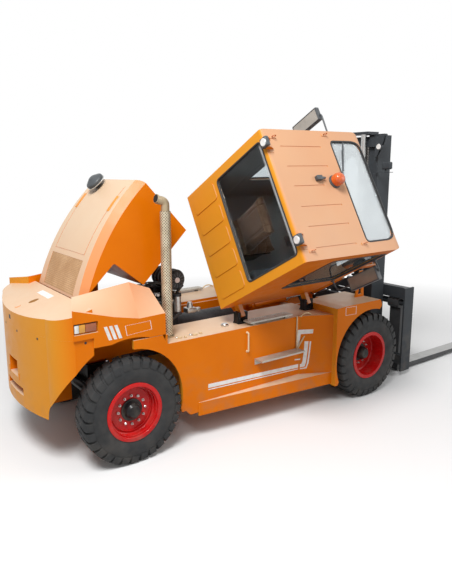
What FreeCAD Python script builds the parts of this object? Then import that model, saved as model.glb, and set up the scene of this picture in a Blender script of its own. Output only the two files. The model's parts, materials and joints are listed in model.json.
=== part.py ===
import FreeCAD, Part
import math
import os
import re
from FreeCAD import Placement, Rotation, Vector

# Diesel forklift truck with a side-tilting cab, a rear-hinged hood, dual drive
# wheels in front and steered wheels behind.
# The truck's own frame has the rear axle at x = 0, the centre plane at y = 0, the
# ground at z = 0, +X forward and +Y left. The cab and the hood are drawn closed and
# then swung open. Every node is shifted at the end, so that the finished part has
# its origin in the middle of its footprint.

doc = FreeCAD.newDocument("diesel_forklift")
sheet = doc.addObject("Spreadsheet::Sheet", "sizes")

SIZES = {
    # footprint: where the row frame's origin lies in the truck's frame
    "origin_x": 3048, "origin_y": -441,
    # clearances: faces that seat on each other, round a turning pin, between channels
    "seat_gap": 0.3, "running_gap": 0.05, "mast_gap": 8,
    # wheels, all of one tyre size
    "tyre_radius": 612, "tyre_width": 310, "tyre_shoulder": 60, "bead_radius": 305,
    "bead_part": 0.80, "rim_flange_radius": 342, "rim_wall": 12, "rim_lip": 14,
    "wheel_base": 3660, "steer_half_track": 1030, "dual_centre": 1090, "dual_spacing": 356,
    "disc_inset": 95, "dual_disc_inset": 40, "disc_thickness": 18, "disc_hole_radius": 104.3, "hub_barrel_radius": 104,
    "hub_flange": 20, "steer_hub_radius": 130, "steer_hub_reach": 75, "steer_hub_depth": 150,
    "drive_hub_radius": 130, "drive_hub_reach": 110, "spindle_radius": 45,
    "drive_spindle_radius": 70,
    # axles
    "kingpin_y": 800, "kingpin_radius": 30, "knuckle_radius": 62, "knuckle_height": 250,
    "ear_thickness": 45, "ear_gap": 5, "ear_width": 200, "ear_length": 150,
    "beam_height": 200, "beam_width": 240, "saddle_level": 890, "saddle_length": 260,
    "steer_cylinder_radius": 55, "steer_cylinder_x": -200, "steer_cylinder_length": 760,
    "axle_tube_radius": 115, "tube_hub_gap": 10, "diff_radius": 235, "diff_width": 260,
    "pinion_radius": 90, "pinion_reach": 420, "shaft_radius": 45,
    # frame
    "frame_half_width": 500, "frame_plate": 36, "frame_bottom": 430, "frame_top": 1270,
    "frame_rear": 820, "frame_nose": 42, "rail_half_width": 345, "rail_height": 260,
    "mast_pivot_x": 4290, "mast_pivot_z": 520, "mast_pin_radius": 30, "mast_pin_end": 600,
    # deck and side tanks
    "deck_height": 1310, "side_half_width": 1120, "flare_half_width": 1330,
    "shelf_rear": 445, "tank_rear": 790, "tank_front": 2960, "arch_radius": 655, "arch_lift": 60,
    "skin_thickness": 40, "sill_rear_height": 365, "sill_front_height": 300,
    # front fenders
    "fender_half_width": 1400, "fender_top": 1410, "fender_tip": 3890,
    "fender_arch_radius": 680, "fender_inner": 740,
    # counterweight and cowl
    "rear_end": 985, "rear_arc_radius": 2250, "rear_flat_half_width": 800,
    "weight_bottom": 600, "weight_front": 430, "seam_height": 1540,
    "weight_arch_radius": 850, "well_half_width": 370,
    "deck_front_height": 1850, "deck_rear_height": 1700,
    "cowl_bottom": 1430, "cowl_inner": 745, "cowl_rear": 670,
    "lamp_recess_depth": 30, "lamp_length": 270, "lamp_height": 120,
    "tow_pin_radius": 26, "tow_pocket_width": 300, "tow_pocket_height": 200,
    "tow_pocket_depth": 220, "tow_pocket_level": 930, "tow_slot_width": 560, "tow_slot_height": 90,
    # engine and bay
    "block_rear": 400, "block_length": 700, "block_width": 620, "block_bottom": 900,
    "block_top": 1540, "head_width": 260, "head_top": 1720, "gearbox_radius": 210,
    "gearbox_length": 900, "gearbox_z": 1080, "radiator_width": 840, "radiator_height": 520,
    "cleaner_radius": 125, "cleaner_length": 420, "cleaner_z": 1880,
    "stack_radius": 50, "stack_height": 1600, "stack_elbow": 105, "stack_x": 612, "stack_y": -870,
    # hood
    "hood_open_angle": 43, "hood_hinge_x": -380, "hood_hinge_z": 1800, "hood_rear": -370,
    "hood_front": 1165, "hood_half_width": 720, "hood_taper": 0.06, "hood_bottom": 1360,
    "hood_rear_bottom": 1830, "hood_arc_x": 1068, "hood_arc_z": -514, "hood_arc_radius": 2769,
    "hood_step": 285, "hood_step_lean": 70, "hood_bevel": 75, "hood_bevel_drop": 92,
    "hood_front_radius": 130, "hood_wall": 14, "hood_pin_radius": 16, "hood_lug_y": 300,
    "hood_lug_width": 26, "grille_rear": 25, "grille_length": 370, "grille_width": 970,
    "grille_depth": 5, "hood_groove": 9, "hood_groove_y": 452, "hood_groove_rear": 57, "precleaner_radius": 125, "precleaner_x": 1000, "precleaner_y": 270,
    # cab
    "cab_rear": 1433, "cab_front": 3130, "cab_bulge": 60, "cab_half_width": 786.5,
    "cab_floor": 1380, "cab_floor_thickness": 60, "cab_roof": 3078, "cab_wall": 48,
    "cab_tilt_angle": 61.457, "cab_hinge_y": -903.8, "cab_hinge_z": 1421.8,
    "cab_pin_radius": 22, "cab_hinge_inset": 260, "glass_thickness": 8, "glass_inset": 20,
    "window_half_width": 670, "rear_window_low": 710, "rear_window_high": 1630,
    "windscreen_low": 420, "windscreen_drop": 190, "door_rear": 1960, "door_front": 2900,
    "door_gap": 8, "door_thickness": 44, "door_pin_radius": 7, "door_barrel_radius": 14,
    "door_hinge_out": 20, "roof_window_rear": 1030, "roof_window_front": 1560,
    "roof_window_corner": 190, "cab_corner_radius": 170, "back_rib_width": 215, "back_rib_pitch": 290,
    "back_rib_low": 110, "back_rib_high": 630, "back_rib_depth": 8, "roof_groove_width": 16,
    "roof_groove_depth": 5,
    # cab tilt cylinder, in the plane across the truck at its own x
    "lifter_x": 3300, "lifter_base_y": -500, "lifter_base_z": 1400, "lifter_eye_y": -700,
    "lifter_eye_z": 2357, "lifter_radius": 40, "lifter_rod_radius": 22, "lifter_barrel": 800,
    "lifter_rod_start": 450, "lifter_pin_radius": 20, "lifter_eye_radius": 42,
    "lifter_eye_width": 50, "cheek_thickness": 16,
    # driver's place
    "seat_x": 1950, "seat_width": 500, "column_x": 2800, "column_lean": 25, "column_length": 825, "steering_radius": 190,
    # mast
    "mast_rear": 4345, "mast_depth": 290, "mast_half_width": 840, "mast_top": 3740,
    "mast_bottom": 240, "channel_web": 32, "channel_flange": 30, "channel_width": 150,
    "inner_width_extra": 20, "beam_depth": 60, "tilt_beam_z": 1080, "tilt_beam_height": 150,
    "lift_y": 660, "lift_radius": 62, "lift_rod_radius": 40, "lift_bottom": 300,
    "lift_barrel_top": 2080, "lift_rod_bottom": 500, "crown_bottom": 3752, "crown_height": 38,
    # mast tilt cylinders
    "tilt_base_x": 2950, "tilt_base_z": 1090, "tilt_eye_x": 4230, "tilt_eye_z": 1150,
    "tilt_y": 400, "tilt_radius": 55, "tilt_rod_radius": 32, "tilt_barrel": 750,
    "tilt_rod_start": 420, "tilt_pin_radius": 25, "tilt_eye_width": 60, "tilt_lug": 80,
    # carriage and forks
    "carriage_half_width": 1215, "carriage_rear": 4670, "carriage_depth": 220,
    "carriage_top": 1425, "carriage_bottom": 80, "end_plate": 26, "post_y": 480,
    "roller_radius": 71, "roller_x": 4490, "roller_end": 760, "beam_front": 4800,
    "fork_shaft_x": 4800, "fork_shaft_z": 1165, "fork_shaft_radius": 50, "fork_ring": 72,
    "fork_width": 200, "fork_thickness": 80, "fork_length": 2200, "fork_bottom": 25,
    "fork_centre": 960, "fork_tip_thickness": 18,
    # steps, caps and mirrors
    "tread_thickness": 20, "upper_tread_rear": 1680, "upper_tread_length": 720,
    "lower_tread_rear": 1750, "lower_tread_length": 750, "lower_tread_z": 850,
    "rail_radius": 16, "mirror_x": 2950, "mirror_reach": 520, "mirror_reach_right": 150,
    "mirror_drop": 20, "mirror_height": 480,
    "mirror_width": 180,
}

row = 0
for alias, number in SIZES.items():
    row += 1
    sheet.set(f"A{row}", alias)
    sheet.set(f"B{row}", str(number))
    sheet.setAlias(f"B{row}", alias)
doc.recompute()


class Dimensions:
    """The driving dimensions, read back from the sheet by name."""

    def __getattr__(self, alias):
        return float(sheet.get(alias))


d = Dimensions()


def cell(text):
    """Turns the names in an expression into references to the sheet's cells."""
    return re.sub(r"\b([a-z]+(?:_[a-z]+)+)\b", r"sizes.\1", str(text))


def bind(obj, **properties):
    for name, text in properties.items():
        obj.setExpression(name, cell(text))


X_AXIS = Vector(1, 0, 0)
Y_AXIS = Vector(0, 1, 0)
Z_AXIS = Vector(0, 0, 1)
TURN_TO = {"x": Rotation(Z_AXIS, X_AXIS), "y": Rotation(Z_AXIS, Y_AXIS), "z": Rotation()}
SIDES = {"left": 1, "right": -1}

# ---------------------------------------------------------------- primitives


def box(name, length, width, height, x, y, z):
    """A box by its three sizes and its lowest corner."""
    obj = doc.addObject("Part::Box", name)
    bind(obj, Length=length, Width=width, Height=height)
    obj.Placement = Placement(Vector(x, y, z), Rotation())
    return obj


def slab(name, x, y, z):
    """A box by its (low, high) pairs along the three axes."""
    return box(name, x[1] - x[0], y[1] - y[0], z[1] - z[0], x[0], y[0], z[0])


def mirrored_slab(name, side, x, y, z):
    """A slab given for the left side, and mirrored when side is -1."""
    return slab(name, x, y if side > 0 else (-y[1], -y[0]), z)


def rod(name, radius, length, start, axis="z"):
    """A cylinder from its start point along one of the truck's axes."""
    obj = doc.addObject("Part::Cylinder", name)
    bind(obj, Radius=radius, Height=length)
    obj.Placement = Placement(Vector(*start), TURN_TO[axis])
    return obj


def cross_rod(name, radius, x, z, side, y):
    """A cylinder along Y between two distances from the centre plane, on one side."""
    return rod(name, radius, y[1] - y[0], (x, y[0] if side > 0 else -y[1], z), "y")


def bar_between(name, radius, start, end):
    """A round bar from one point to another."""
    start, end = Vector(*start), Vector(*end)
    obj = doc.addObject("Part::Cylinder", name)
    bind(obj, Radius=radius)
    obj.Height = (end - start).Length
    obj.Placement = Placement(start, Rotation(Z_AXIS, end - start))
    return obj


def cut(name, base, *tools):
    """Takes one or more tools away from a base."""
    result = doc.addObject("Part::Cut", name)
    result.Base = base
    result.Tool = tools[0] if len(tools) == 1 else fuse(name + "_tools", *tools)
    return result


def fuse(name, *shapes):
    result = doc.addObject("Part::MultiFuse", name)
    result.Shapes = list(shapes)
    return result


def common(name, *shapes):
    result = doc.addObject("Part::MultiCommon", name)
    result.Shapes = list(shapes)
    return result


def group(name, *shapes):
    """Separate solids of one node, kept as a compound."""
    result = doc.addObject("Part::Compound", name)
    result.Links = list(shapes)
    return result


# ------------------------------------------------------- sketches and bodies


def corner_arc(before, here, after, radius):
    """First and last point and the middle of the arc that rounds a corner."""
    toward = [before - here, after - here]
    for direction in toward:
        direction.normalize()
    half = toward[0].getAngle(toward[1]) / 2
    middle = toward[0] + toward[1]
    middle.normalize()
    centre = here + middle * (radius / math.sin(half))
    reach = radius / math.tan(half)
    return here + toward[0] * reach, centre - middle * radius, here + toward[1] * reach


def rounded_loop(points):
    """Sketch edges round a closed outline; each point is (u, v) or (u, v, fillet radius)."""
    corners = [Vector(p[0], p[1], 0) for p in points]
    count = len(points)
    starts, ends, edges = [], [], []
    for i in range(count):
        radius = points[i][2] if len(points[i]) > 2 else 0
        if radius == 0:
            starts.append(corners[i])
            ends.append(corners[i])
            continue
        first, middle, last = corner_arc(corners[i - 1], corners[i], corners[(i + 1) % count], radius)
        edges.append(Part.Arc(first, middle, last))
        starts.append(last)
        ends.append(first)
    for i in range(count):
        a, b = starts[i], ends[(i + 1) % count]
        if (b - a).Length > 1e-6:
            edges.append(Part.LineSegment(a, b))
    return edges


def on_line(origin, direction, distance):
    """The point at a distance from an origin along a unit direction."""
    return tuple(origin + direction * distance)


def rect(u0, v0, u1, v1, radius):
    """Corners of a rectangle with rounded corners."""
    return [(u0, v0, radius), (u1, v0, radius), (u1, v1, radius), (u0, v1, radius)]


def sketch_on(body, plane, loops):
    """A sketch of closed loops on one of the body's own origin planes."""
    sketch = body.newObject("Sketcher::SketchObject", body.Name + "_sketch")
    support = [f for f in body.Origin.OriginFeatures if f.Role == plane + "_Plane"][0]
    sketch.AttachmentSupport = [(support, "")]
    sketch.MapMode = "FlatFace"
    for loop in loops:
        sketch.addGeometry(loop, False)
    return sketch


def plate(name, plane, loops, thickness, middle=(0, 0, 0)):
    """A body padded evenly to both sides of the plane through its middle point."""
    body = doc.addObject("PartDesign::Body", name)
    pad = body.newObject("PartDesign::Pad", name + "_pad")
    pad.Profile = sketch_on(body, plane, [rounded_loop(loop) for loop in loops])
    pad.Midplane = True
    bind(pad, Length=thickness)
    body.Placement = Placement(Vector(*middle), Rotation())
    return body


def turned(name, outline, middle):
    """A body of revolution about the Y axis; the outline is (y, radius)."""
    body = doc.addObject("PartDesign::Body", name)
    spin = body.newObject("PartDesign::Revolution", name + "_turn")
    spin.Profile = sketch_on(body, "YZ", [rounded_loop(outline)])
    spin.ReferenceAxis = (spin.Profile[0], ["H_Axis"])
    spin.Angle = 360
    body.Placement = Placement(Vector(*middle), Rotation())
    return body


def pipe(name, radius, points, bend):
    """A round tube swept along straight runs with bends between them."""
    points = [Vector(*p) for p in points]
    edges, start = [], points[0]
    for i in range(1, len(points) - 1):
        first, middle, last = corner_arc(points[i - 1], points[i], points[i + 1], bend)
        edges.append(Part.LineSegment(start, first).toShape())
        edges.append(Part.Arc(first, middle, last).toShape())
        start = last
    edges.append(Part.LineSegment(start, points[-1]).toShape())
    path = doc.addObject("Part::Feature", name + "_path")
    path.Shape = Part.Wire(edges)
    ring = doc.addObject("Part::Circle", name + "_ring")
    bind(ring, Radius=radius)
    ring.Placement = Placement(points[0], Rotation(Z_AXIS, points[1] - points[0]))
    sweep = doc.addObject("Part::Sweep", name)
    sweep.Sections = [ring]
    sweep.Spine = (path, [f"Edge{i + 1}" for i in range(len(edges))])
    sweep.Solid = True
    return sweep


# ------------------------------------------------------------- group frames

to_row = Placement(Vector(-d.origin_x, -d.origin_y, 0), Rotation())


def swing(pivot, axis, angle):
    """The placement that turns a closed group about its hinge."""
    return Placement(Vector(), Rotation(axis, angle), Vector(*pivot))


cab_tilted = swing((0, d.cab_hinge_y, d.cab_hinge_z), X_AXIS, d.cab_tilt_angle)
hood_raised = swing((d.hood_hinge_x, 0, d.hood_hinge_z), Y_AXIS, -d.hood_open_angle)

nodes = []


def node(obj, pose=None):
    """Records a finished sub-part and lays it in the row frame."""
    obj.Label = obj.Name
    place = to_row if pose is None else to_row.multiply(pose)
    obj.Placement = place.multiply(obj.Placement)
    nodes.append(obj)
    return obj


# -------------------------------------------------------------------- wheels

axle_z = d.tyre_radius
drive_x = d.wheel_base
half_tyre = d.tyre_width / 2
bead_half = half_tyre * d.bead_part
disc_face = bead_half + d.seat_gap - d.disc_inset


def tyre(name, x, y):
    """Bias-ply tyre with rounded shoulders, bulging side walls and a bead on the rim."""
    half, outer = half_tyre, d.tyre_radius
    flange, bulge = d.rim_flange_radius + 6, d.bead_radius + 120
    right = [(bead_half, flange, 10), (half, bulge, 60), (half, outer - 60, d.tyre_shoulder),
             (half - 75, outer, 40)]
    left = [(-p[0], *p[1:]) for p in right]
    outline = [(-bead_half, d.bead_radius)] + left + right[::-1] + [(bead_half, d.bead_radius)]
    return turned(name, outline, (x, y, axle_z))


def rim(name, side, x, y, disc):
    """A rim: a barrel, two flanges and a dished disc, outside towards side; disc is the disc's face from the rim's middle."""
    seat = d.bead_radius - d.seat_gap
    barrel = seat - d.rim_wall
    flange = d.rim_flange_radius
    edge = bead_half + d.seat_gap
    hole, back = d.disc_hole_radius, disc - d.disc_thickness
    outline = [
        (-edge - d.rim_lip, barrel), (-edge - d.rim_lip, flange, 6), (-edge, flange, 6), (-edge, seat),
        (edge, seat), (edge, flange, 6), (edge + d.rim_lip, flange, 6), (edge + d.rim_lip, barrel, 10),
        (disc, barrel, 20), (disc, hole), (back, hole), (back, barrel, 20),
    ]
    return turned(name, [(side * p[0], *p[1:]) for p in outline], (x, y, axle_z))


def hub(name, side, x, y, radius, bore, reach, depth):
    """Wheel hub with a domed cap outside and a blind bore for the spindle."""
    barrel, flange = d.hub_barrel_radius, d.hub_flange
    outline = [
        (-depth, bore), (-depth, barrel, 6), (-flange, barrel), (-flange, radius, 6), (0, radius, 6),
        (0, radius * 0.74), (reach * 0.6, radius * 0.7, 12), (reach, radius * 0.5, 14),
        (reach, 0), (-flange, 0), (-flange, bore),
    ]
    return turned(name, [(side * p[0], *p[1:]) for p in outline], (x, y, axle_z))


spread = d.dual_spacing / 2
hub_seat = disc_face + d.hub_flange + d.seat_gap
dual_face = bead_half + d.seat_gap - d.dual_disc_inset
dual_seat = d.hub_flange + d.seat_gap + d.disc_thickness - dual_face
spindle_reach = d.dual_centre + spread + dual_seat - d.hub_flange - d.seat_gap
tube_reach = d.dual_centre - spread - disc_face - 190
for side_name, side in SIDES.items():
    y = side * d.steer_half_track
    node(tyre("rear_tyre_" + side_name, 0, y))
    node(rim("rear_rim_" + side_name, side, 0, y, disc_face))
    node(hub("rear_hub_" + side_name, side, 0, y + side * hub_seat, d.steer_hub_radius,
             d.spindle_radius + d.running_gap, d.steer_hub_reach, d.steer_hub_depth))

    outer_y, inner_y = side * (d.dual_centre + spread), side * (d.dual_centre - spread)
    node(group("front_tyres_" + side_name,
               tyre("outer_tyre_" + side_name, drive_x, outer_y),
               tyre("inner_tyre_" + side_name, drive_x, inner_y)))
    node(group("front_rims_" + side_name,
               rim("outer_rim_" + side_name, -side, drive_x, outer_y, dual_face),
               rim("inner_rim_" + side_name, side, drive_x, inner_y, dual_face)))
    hub_y = outer_y + side * dual_seat
    node(hub("front_hub_" + side_name, side, drive_x, hub_y, d.drive_hub_radius,
             d.drive_spindle_radius + d.running_gap, d.drive_hub_reach,
             abs(hub_y) - tube_reach - d.tube_hub_gap))

# --------------------------------------------------------------------- axles

ear_level = d.knuckle_height / 2 + d.ear_gap
ear_low = axle_z - ear_level - d.ear_thickness
ear_stack = 2 * (ear_level + d.ear_thickness)
beam_half = d.beam_height / 2
beam_reach = d.kingpin_y - 110
axle_parts = [slab("steer_beam", (-d.beam_width / 2, d.beam_width / 2), (-beam_reach, beam_reach),
                   (axle_z - beam_half, axle_z + beam_half))]
ear_x = (-d.ear_length / 2, d.ear_length / 2)
for side_name, side in SIDES.items():
    ear_y = (d.kingpin_y - 130, d.kingpin_y - 130 + d.ear_width)
    for level_name, low in (("top", axle_z + ear_level), ("bottom", ear_low)):
        axle_parts.append(mirrored_slab(f"ear_{level_name}_{side_name}", side, ear_x, ear_y,
                                        (low, low + d.ear_thickness)))
    axle_parts.append(mirrored_slab("ear_web_" + side_name, side, ear_x,
                                    (d.kingpin_y - 130, d.kingpin_y - 72), (ear_low, ear_low + ear_stack)))
    axle_parts.append(rod("kingpin_" + side_name, "kingpin_radius", ear_stack + 20,
                          (0, side * d.kingpin_y, ear_low - 10)))
    axle_parts.append(mirrored_slab("steer_cylinder_foot_" + side_name, side,
                                    (d.steer_cylinder_x, -90), (270, 330), (axle_z - 60, axle_z + 60)))
half_cylinder = d.steer_cylinder_length / 2
axle_parts.append(cross_rod("steer_cylinder", "steer_cylinder_radius", d.steer_cylinder_x, axle_z + 10, 1,
                            (-half_cylinder, half_cylinder)))
axle_parts.append(cross_rod("steer_cylinder_rod", 25, d.steer_cylinder_x, axle_z + 10, 1,
                            (-half_cylinder - 180, half_cylinder + 180)))
saddle_x = (-d.saddle_length / 2, d.saddle_length / 2)
axle_parts.append(slab("axle_saddle", saddle_x, (-150, 150), (axle_z + beam_half, d.saddle_level)))
node(fuse("steer_axle", *axle_parts))

for side_name, side in SIDES.items():
    y = side * d.kingpin_y
    block = rod("knuckle_block_" + side_name, "knuckle_radius", "knuckle_height",
                (0, y, axle_z - d.knuckle_height / 2))
    spindle = cross_rod("spindle_" + side_name, "spindle_radius", 0, axle_z, side,
                        (d.kingpin_y, d.steer_half_track + disc_face))
    bore = rod("kingpin_bore_" + side_name, "kingpin_radius + running_gap", "knuckle_height + 20",
               (0, y, axle_z - d.knuckle_height / 2 - 10))
    node(cut("knuckle_" + side_name, fuse("knuckle_whole_" + side_name, block, spindle), bore))

gearbox_end = d.block_rear + d.block_length + 160 + d.gearbox_length
node(fuse("drive_axle",
          cross_rod("axle_tube", "axle_tube_radius", drive_x, axle_z, 1, (-tube_reach, tube_reach)),
          cross_rod("axle_spindles", "drive_spindle_radius", drive_x, axle_z, 1,
                    (-spindle_reach, spindle_reach)),
          cross_rod("diff_case", "diff_radius", drive_x, axle_z, 1,
                    (-d.diff_width / 2, d.diff_width / 2)),
          rod("pinion_nose", "pinion_radius", "pinion_reach", (drive_x - d.pinion_reach, 0, axle_z), "x"),
          bar_between("propeller_shaft", "shaft_radius", (gearbox_end + 20, 0, d.gearbox_z - 130),
                      (drive_x - d.pinion_reach + 20, 0, axle_z))))

# --------------------------------------------------------------------- frame

pivot_x, pivot_z = d.mast_pivot_x, d.mast_pivot_z
frame_inside = d.frame_half_width - d.frame_plate


def frame_side(name, side):
    """Long side plate of the frame, from behind the cab to the noses that carry the mast."""
    rear, low, high = d.frame_rear, d.frame_bottom, d.frame_top
    nose = pivot_x + d.frame_nose
    outline = [
        (rear, low + 120, 60), (rear + 160, low, 60), (pivot_x - 60, low, 20),
        (nose, pivot_z - 60, 35), (nose, pivot_z + 60, 35), (pivot_x - 60, pivot_z + 270, 60),
        (pivot_x - 390, high, 120), (rear, high),
    ]
    return plate(name, "XZ", [outline], "frame_plate", (0, side * (frame_inside + d.frame_plate / 2), 0))


def rear_rail(name, side):
    """Upper rail over the steer axle, which ties the frame to the counterweight."""
    high, low = d.frame_top, d.frame_top - d.rail_height
    rear, front = -d.weight_front + d.seat_gap, d.frame_rear + 36
    outline = [(rear, low), (front, low), (front, high), (rear, high)]
    return plate(name, "XZ", [outline], "frame_plate", (0, side * d.rail_half_width, 0))


def across(name, x, z):
    """A member between the two frame sides."""
    return slab(name, x, (-frame_inside, frame_inside), z)


frame_parts = []
for side_name, side in SIDES.items():
    frame_parts.append(mirrored_slab("rail_gusset_" + side_name, side, (d.frame_rear, d.frame_rear + 36),
                                     (d.rail_half_width, d.frame_half_width - 10),
                                     (d.frame_top - d.rail_height, d.frame_top)))
    frame_parts.append(frame_side("frame_side_" + side_name, side))
    frame_parts.append(rear_rail("rear_rail_" + side_name, side))
    frame_parts.append(cross_rod("mast_pin_" + side_name, "mast_pin_radius", pivot_x, pivot_z, side,
                                 (frame_inside, d.mast_pin_end)))
    frame_parts.append(cross_rod("tilt_pin_" + side_name, "tilt_pin_radius", d.tilt_base_x, d.tilt_base_z,
                                 side, (d.tilt_y - 50, frame_inside + 10)))
frame_parts.append(across("rear_bulkhead", (d.frame_rear, d.frame_rear + 36),
                          (d.frame_bottom + 120, d.block_bottom - 20)))
frame_parts.append(across("middle_member", (2000, 2160), (d.frame_bottom, d.frame_bottom + 120)))
member_low = axle_z + d.diff_radius + 20
frame_parts.append(across("axle_member", (drive_x - 60, drive_x + 60), (member_low, member_low + 160)))
frame_parts.append(across("front_member", (pivot_x - 120, pivot_x - 84), (pivot_z - 30, pivot_z + 250)))
rail_low = d.frame_top - d.rail_height
rail_reach = d.rail_half_width
frame_parts.append(slab("saddle_plate", (-150, 150), (-rail_reach, rail_reach), (rail_low, rail_low + 60)))
frame_parts.append(slab("saddle_post", saddle_x, (-100, 100), (d.saddle_level + d.seat_gap, rail_low + 30)))

# bracket of the cab's tilt cylinder, on top of the right frame side
lifter_y, lifter_z = d.lifter_base_y, d.lifter_base_z
lug_half = d.lifter_eye_width / 2 + 5
lifter_x = d.lifter_x
for cheek_name, x in (("rear", lifter_x - lug_half - d.cheek_thickness), ("front", lifter_x + lug_half)):
    frame_parts.append(slab("lifter_cheek_" + cheek_name, (x, x + d.cheek_thickness),
                            (lifter_y - 50, lifter_y + 50), (d.frame_top - 60, lifter_z + 38)))
frame_parts.append(rod("lifter_pin", "lifter_pin_radius", 2 * (lug_half + d.cheek_thickness),
                       (lifter_x - lug_half - d.cheek_thickness, lifter_y, lifter_z), "x"))
tube_hole = cross_rod("axle_tube_hole", "axle_tube_radius + seat_gap", drive_x, axle_z, 1, (-600, 600))
node(cut("chassis_frame", fuse("frame_whole", *frame_parts), tube_hole))

# ------------------------------------------------- side tanks, front fenders

for side_name, side in SIDES.items():
    inside = d.frame_half_width + d.seat_gap
    outside = d.side_half_width
    deck, rear, front = d.deck_height, d.tank_rear, d.tank_front
    low_rear, low_front = d.sill_rear_height, d.sill_front_height
    cowl_low = d.cowl_bottom - 5

    def plan_wedge(name, corners, low, high):
        """A block with a plan outline, given for the left side."""
        outline = [(p[0], side * p[1], *p[2:]) for p in corners]
        return plate(name, "XY", [outline], high - low, (0, 0, (low + high) / 2))

    main = plate("tank_main_" + side_name, "XZ",
                 [[(rear, low_rear + 60, 40), (rear + 70, low_rear), (front, low_front),
                   (front, deck), (rear, deck)]],
                 outside - inside, (0, side * (inside + outside) / 2, 0))
    skin = plate("tank_skin_" + side_name, "XZ",
                 [[(30, cowl_low), (30, 900), (540, 900), (640, 430), (700, 430), (760, low_rear, 30),
                   (rear + 80, low_rear), (rear + 80, deck), (450, deck, 60), (400, cowl_low)]],
                 "skin_thickness", (0, side * (outside - d.skin_thickness / 2), 0))
    shelf = mirrored_slab("tank_shelf_" + side_name, side, (d.shelf_rear, rear + 20), (inside, outside),
                          (deck - 46, deck))
    well_wall = mirrored_slab("well_wall_" + side_name, side, (d.shelf_rear, d.shelf_rear + 16),
                              (d.cowl_inner, outside), (deck - 40, cowl_low))
    arch = cross_rod("tank_arch_" + side_name, "arch_radius", 0, axle_z + d.arch_lift, side,
                     (outside - 100, outside + 100))
    sill = plan_wedge("tank_sill_" + side_name,
                      [(880, outside - 20), (880, outside + 8), (front, d.flare_half_width),
                       (front, outside - 20)], low_front + 20, low_front + 190)
    flare = plan_wedge("tank_flare_" + side_name,
                       [(2520, outside - 20), (2520, outside + 2, 60), (front, d.flare_half_width),
                        (front, outside - 20)], low_front + 100, deck)
    node(fuse("side_tank_" + side_name, main, cut("tank_skin_arched_" + side_name, skin, arch), sill, flare,
              shelf, well_wall))

    inner, outer, top, tip = d.fender_inner, d.fender_half_width, d.fender_top, d.fender_tip
    back = front + d.seat_gap
    block = plate("fender_block_" + side_name, "XZ",
                  [[(back, low_front), (back + 50, low_front), (back + 400, 900), (tip - 200, 1100),
                    (tip, top - 90, 20), (tip - 40, top, 20), (back + 160, top), (back, top - 10)]],
                  outer - inner, (0, side * (inner + outer) / 2, 0))
    wheel_space = cross_rod("fender_space_" + side_name, "fender_arch_radius", drive_x, axle_z, side,
                            (inner - 100, outer + 100))
    cab_room = mirrored_slab("fender_cab_room_" + side_name, side,
                             (back - 20, d.cab_front + d.cab_bulge + 30), (inner - 20, d.cab_half_width + 12),
                             (d.cab_floor - 15, top + 20))
    bracket = plate("fender_bracket_" + side_name, "XZ",
                    [[(3650, top - 30), (3830, top - 30), (3830, top + 20), (3800, 1795, 12), (3730, 1795, 12),
                      (3650, top + 20)],
                     [(3705, top + 40, 8), (3780, top + 40, 8), (3767, top + 260, 8), (3752, top + 260, 8)]],
                    20, (0, side * 1100, 0))
    node(fuse("front_fender_" + side_name, cut("fender_cut_" + side_name, block, wheel_space, cab_room),
              bracket))

# ---------------------------------------------------- counterweight and cowl


def rear_plan(front):
    """Plan of the rear end: a wide arc across the back, rounded corners, straight sides."""
    half, corner = d.side_half_width - 20, d.rear_flat_half_width
    radius, end = d.rear_arc_radius, d.rear_end
    corner_x = radius - end - math.sqrt(radius ** 2 - corner ** 2)
    arcs = [Part.Arc(Vector(corner_x, corner, 0), Vector(-end, 0, 0), Vector(corner_x, -corner, 0))]
    knee_x = -d.cowl_rear + 30
    lines = [Part.LineSegment(Vector(front, half, 0), Vector(front, -half, 0))]
    for s in (1, -1):
        lines.append(Part.LineSegment(Vector(front, s * half, 0), Vector(knee_x, s * half, 0)))
        arcs.append(Part.Arc(Vector(knee_x, s * half, 0), Vector(corner_x + 70, s * (half - 115), 0),
                             Vector(corner_x, s * corner, 0)))
    return Part.Wire(Part.__sortEdges__([g.toShape() for g in arcs + lines]))


def rear_block(name, front, low, high):
    outline = doc.addObject("Part::Feature", name + "_plan")
    outline.Shape = Part.Face(rear_plan(front))
    block = doc.addObject("Part::Extrusion", name)
    block.Base = outline
    block.DirMode = "Custom"
    block.Dir = Z_AXIS
    block.LengthFwd = high - low
    block.Solid = True
    block.Placement = Placement(Vector(0, 0, low), Rotation())
    return block


front_face = -d.weight_front
weight = rear_block("weight_block", front_face, d.weight_bottom, d.seam_height)
wells = [cross_rod("weight_well_" + n, "weight_arch_radius", 0, axle_z, s, (d.well_half_width, 1300))
         for n, s in SIDES.items()]
pocket_half, pocket_low = d.tow_pocket_width / 2, d.tow_pocket_level
pocket = slab("tow_pocket", (-d.rear_end - 20, -d.rear_end - 20 + d.tow_pocket_depth),
              (-pocket_half, pocket_half), (pocket_low, pocket_low + d.tow_pocket_height))
pin_x, pin_low = -d.rear_end + 100, pocket_low - 80
pin_hole = rod("tow_pin_hole", "tow_pin_radius", d.seam_height - pin_low + 10, (pin_x, 0, pin_low))
slot = slab("lower_slot", (-d.rear_end - 20, -d.rear_end + 100), (-d.tow_slot_width / 2, d.tow_slot_width / 2),
            (pocket_low - 190, pocket_low - 190 + d.tow_slot_height))
node(cut("counterweight", weight, *wells, pocket, pin_hole, slot))

seam = d.seam_height + d.seat_gap
deck_block = rear_block("cowl_deck", front_face, seam, d.deck_front_height + 30)
fall = (d.deck_front_height - d.deck_rear_height) / (d.rear_end - d.weight_front)
above = [(front_face + 20, d.deck_front_height + 20 * fall), (front_face + 20, 2200), (-1200, 2200),
         (-1200, d.deck_rear_height - (1200 - d.rear_end) * fall)]
deck_sloped = cut("cowl_deck_sloped", deck_block, plate("above_deck", "XZ", [above], 2600))

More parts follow.
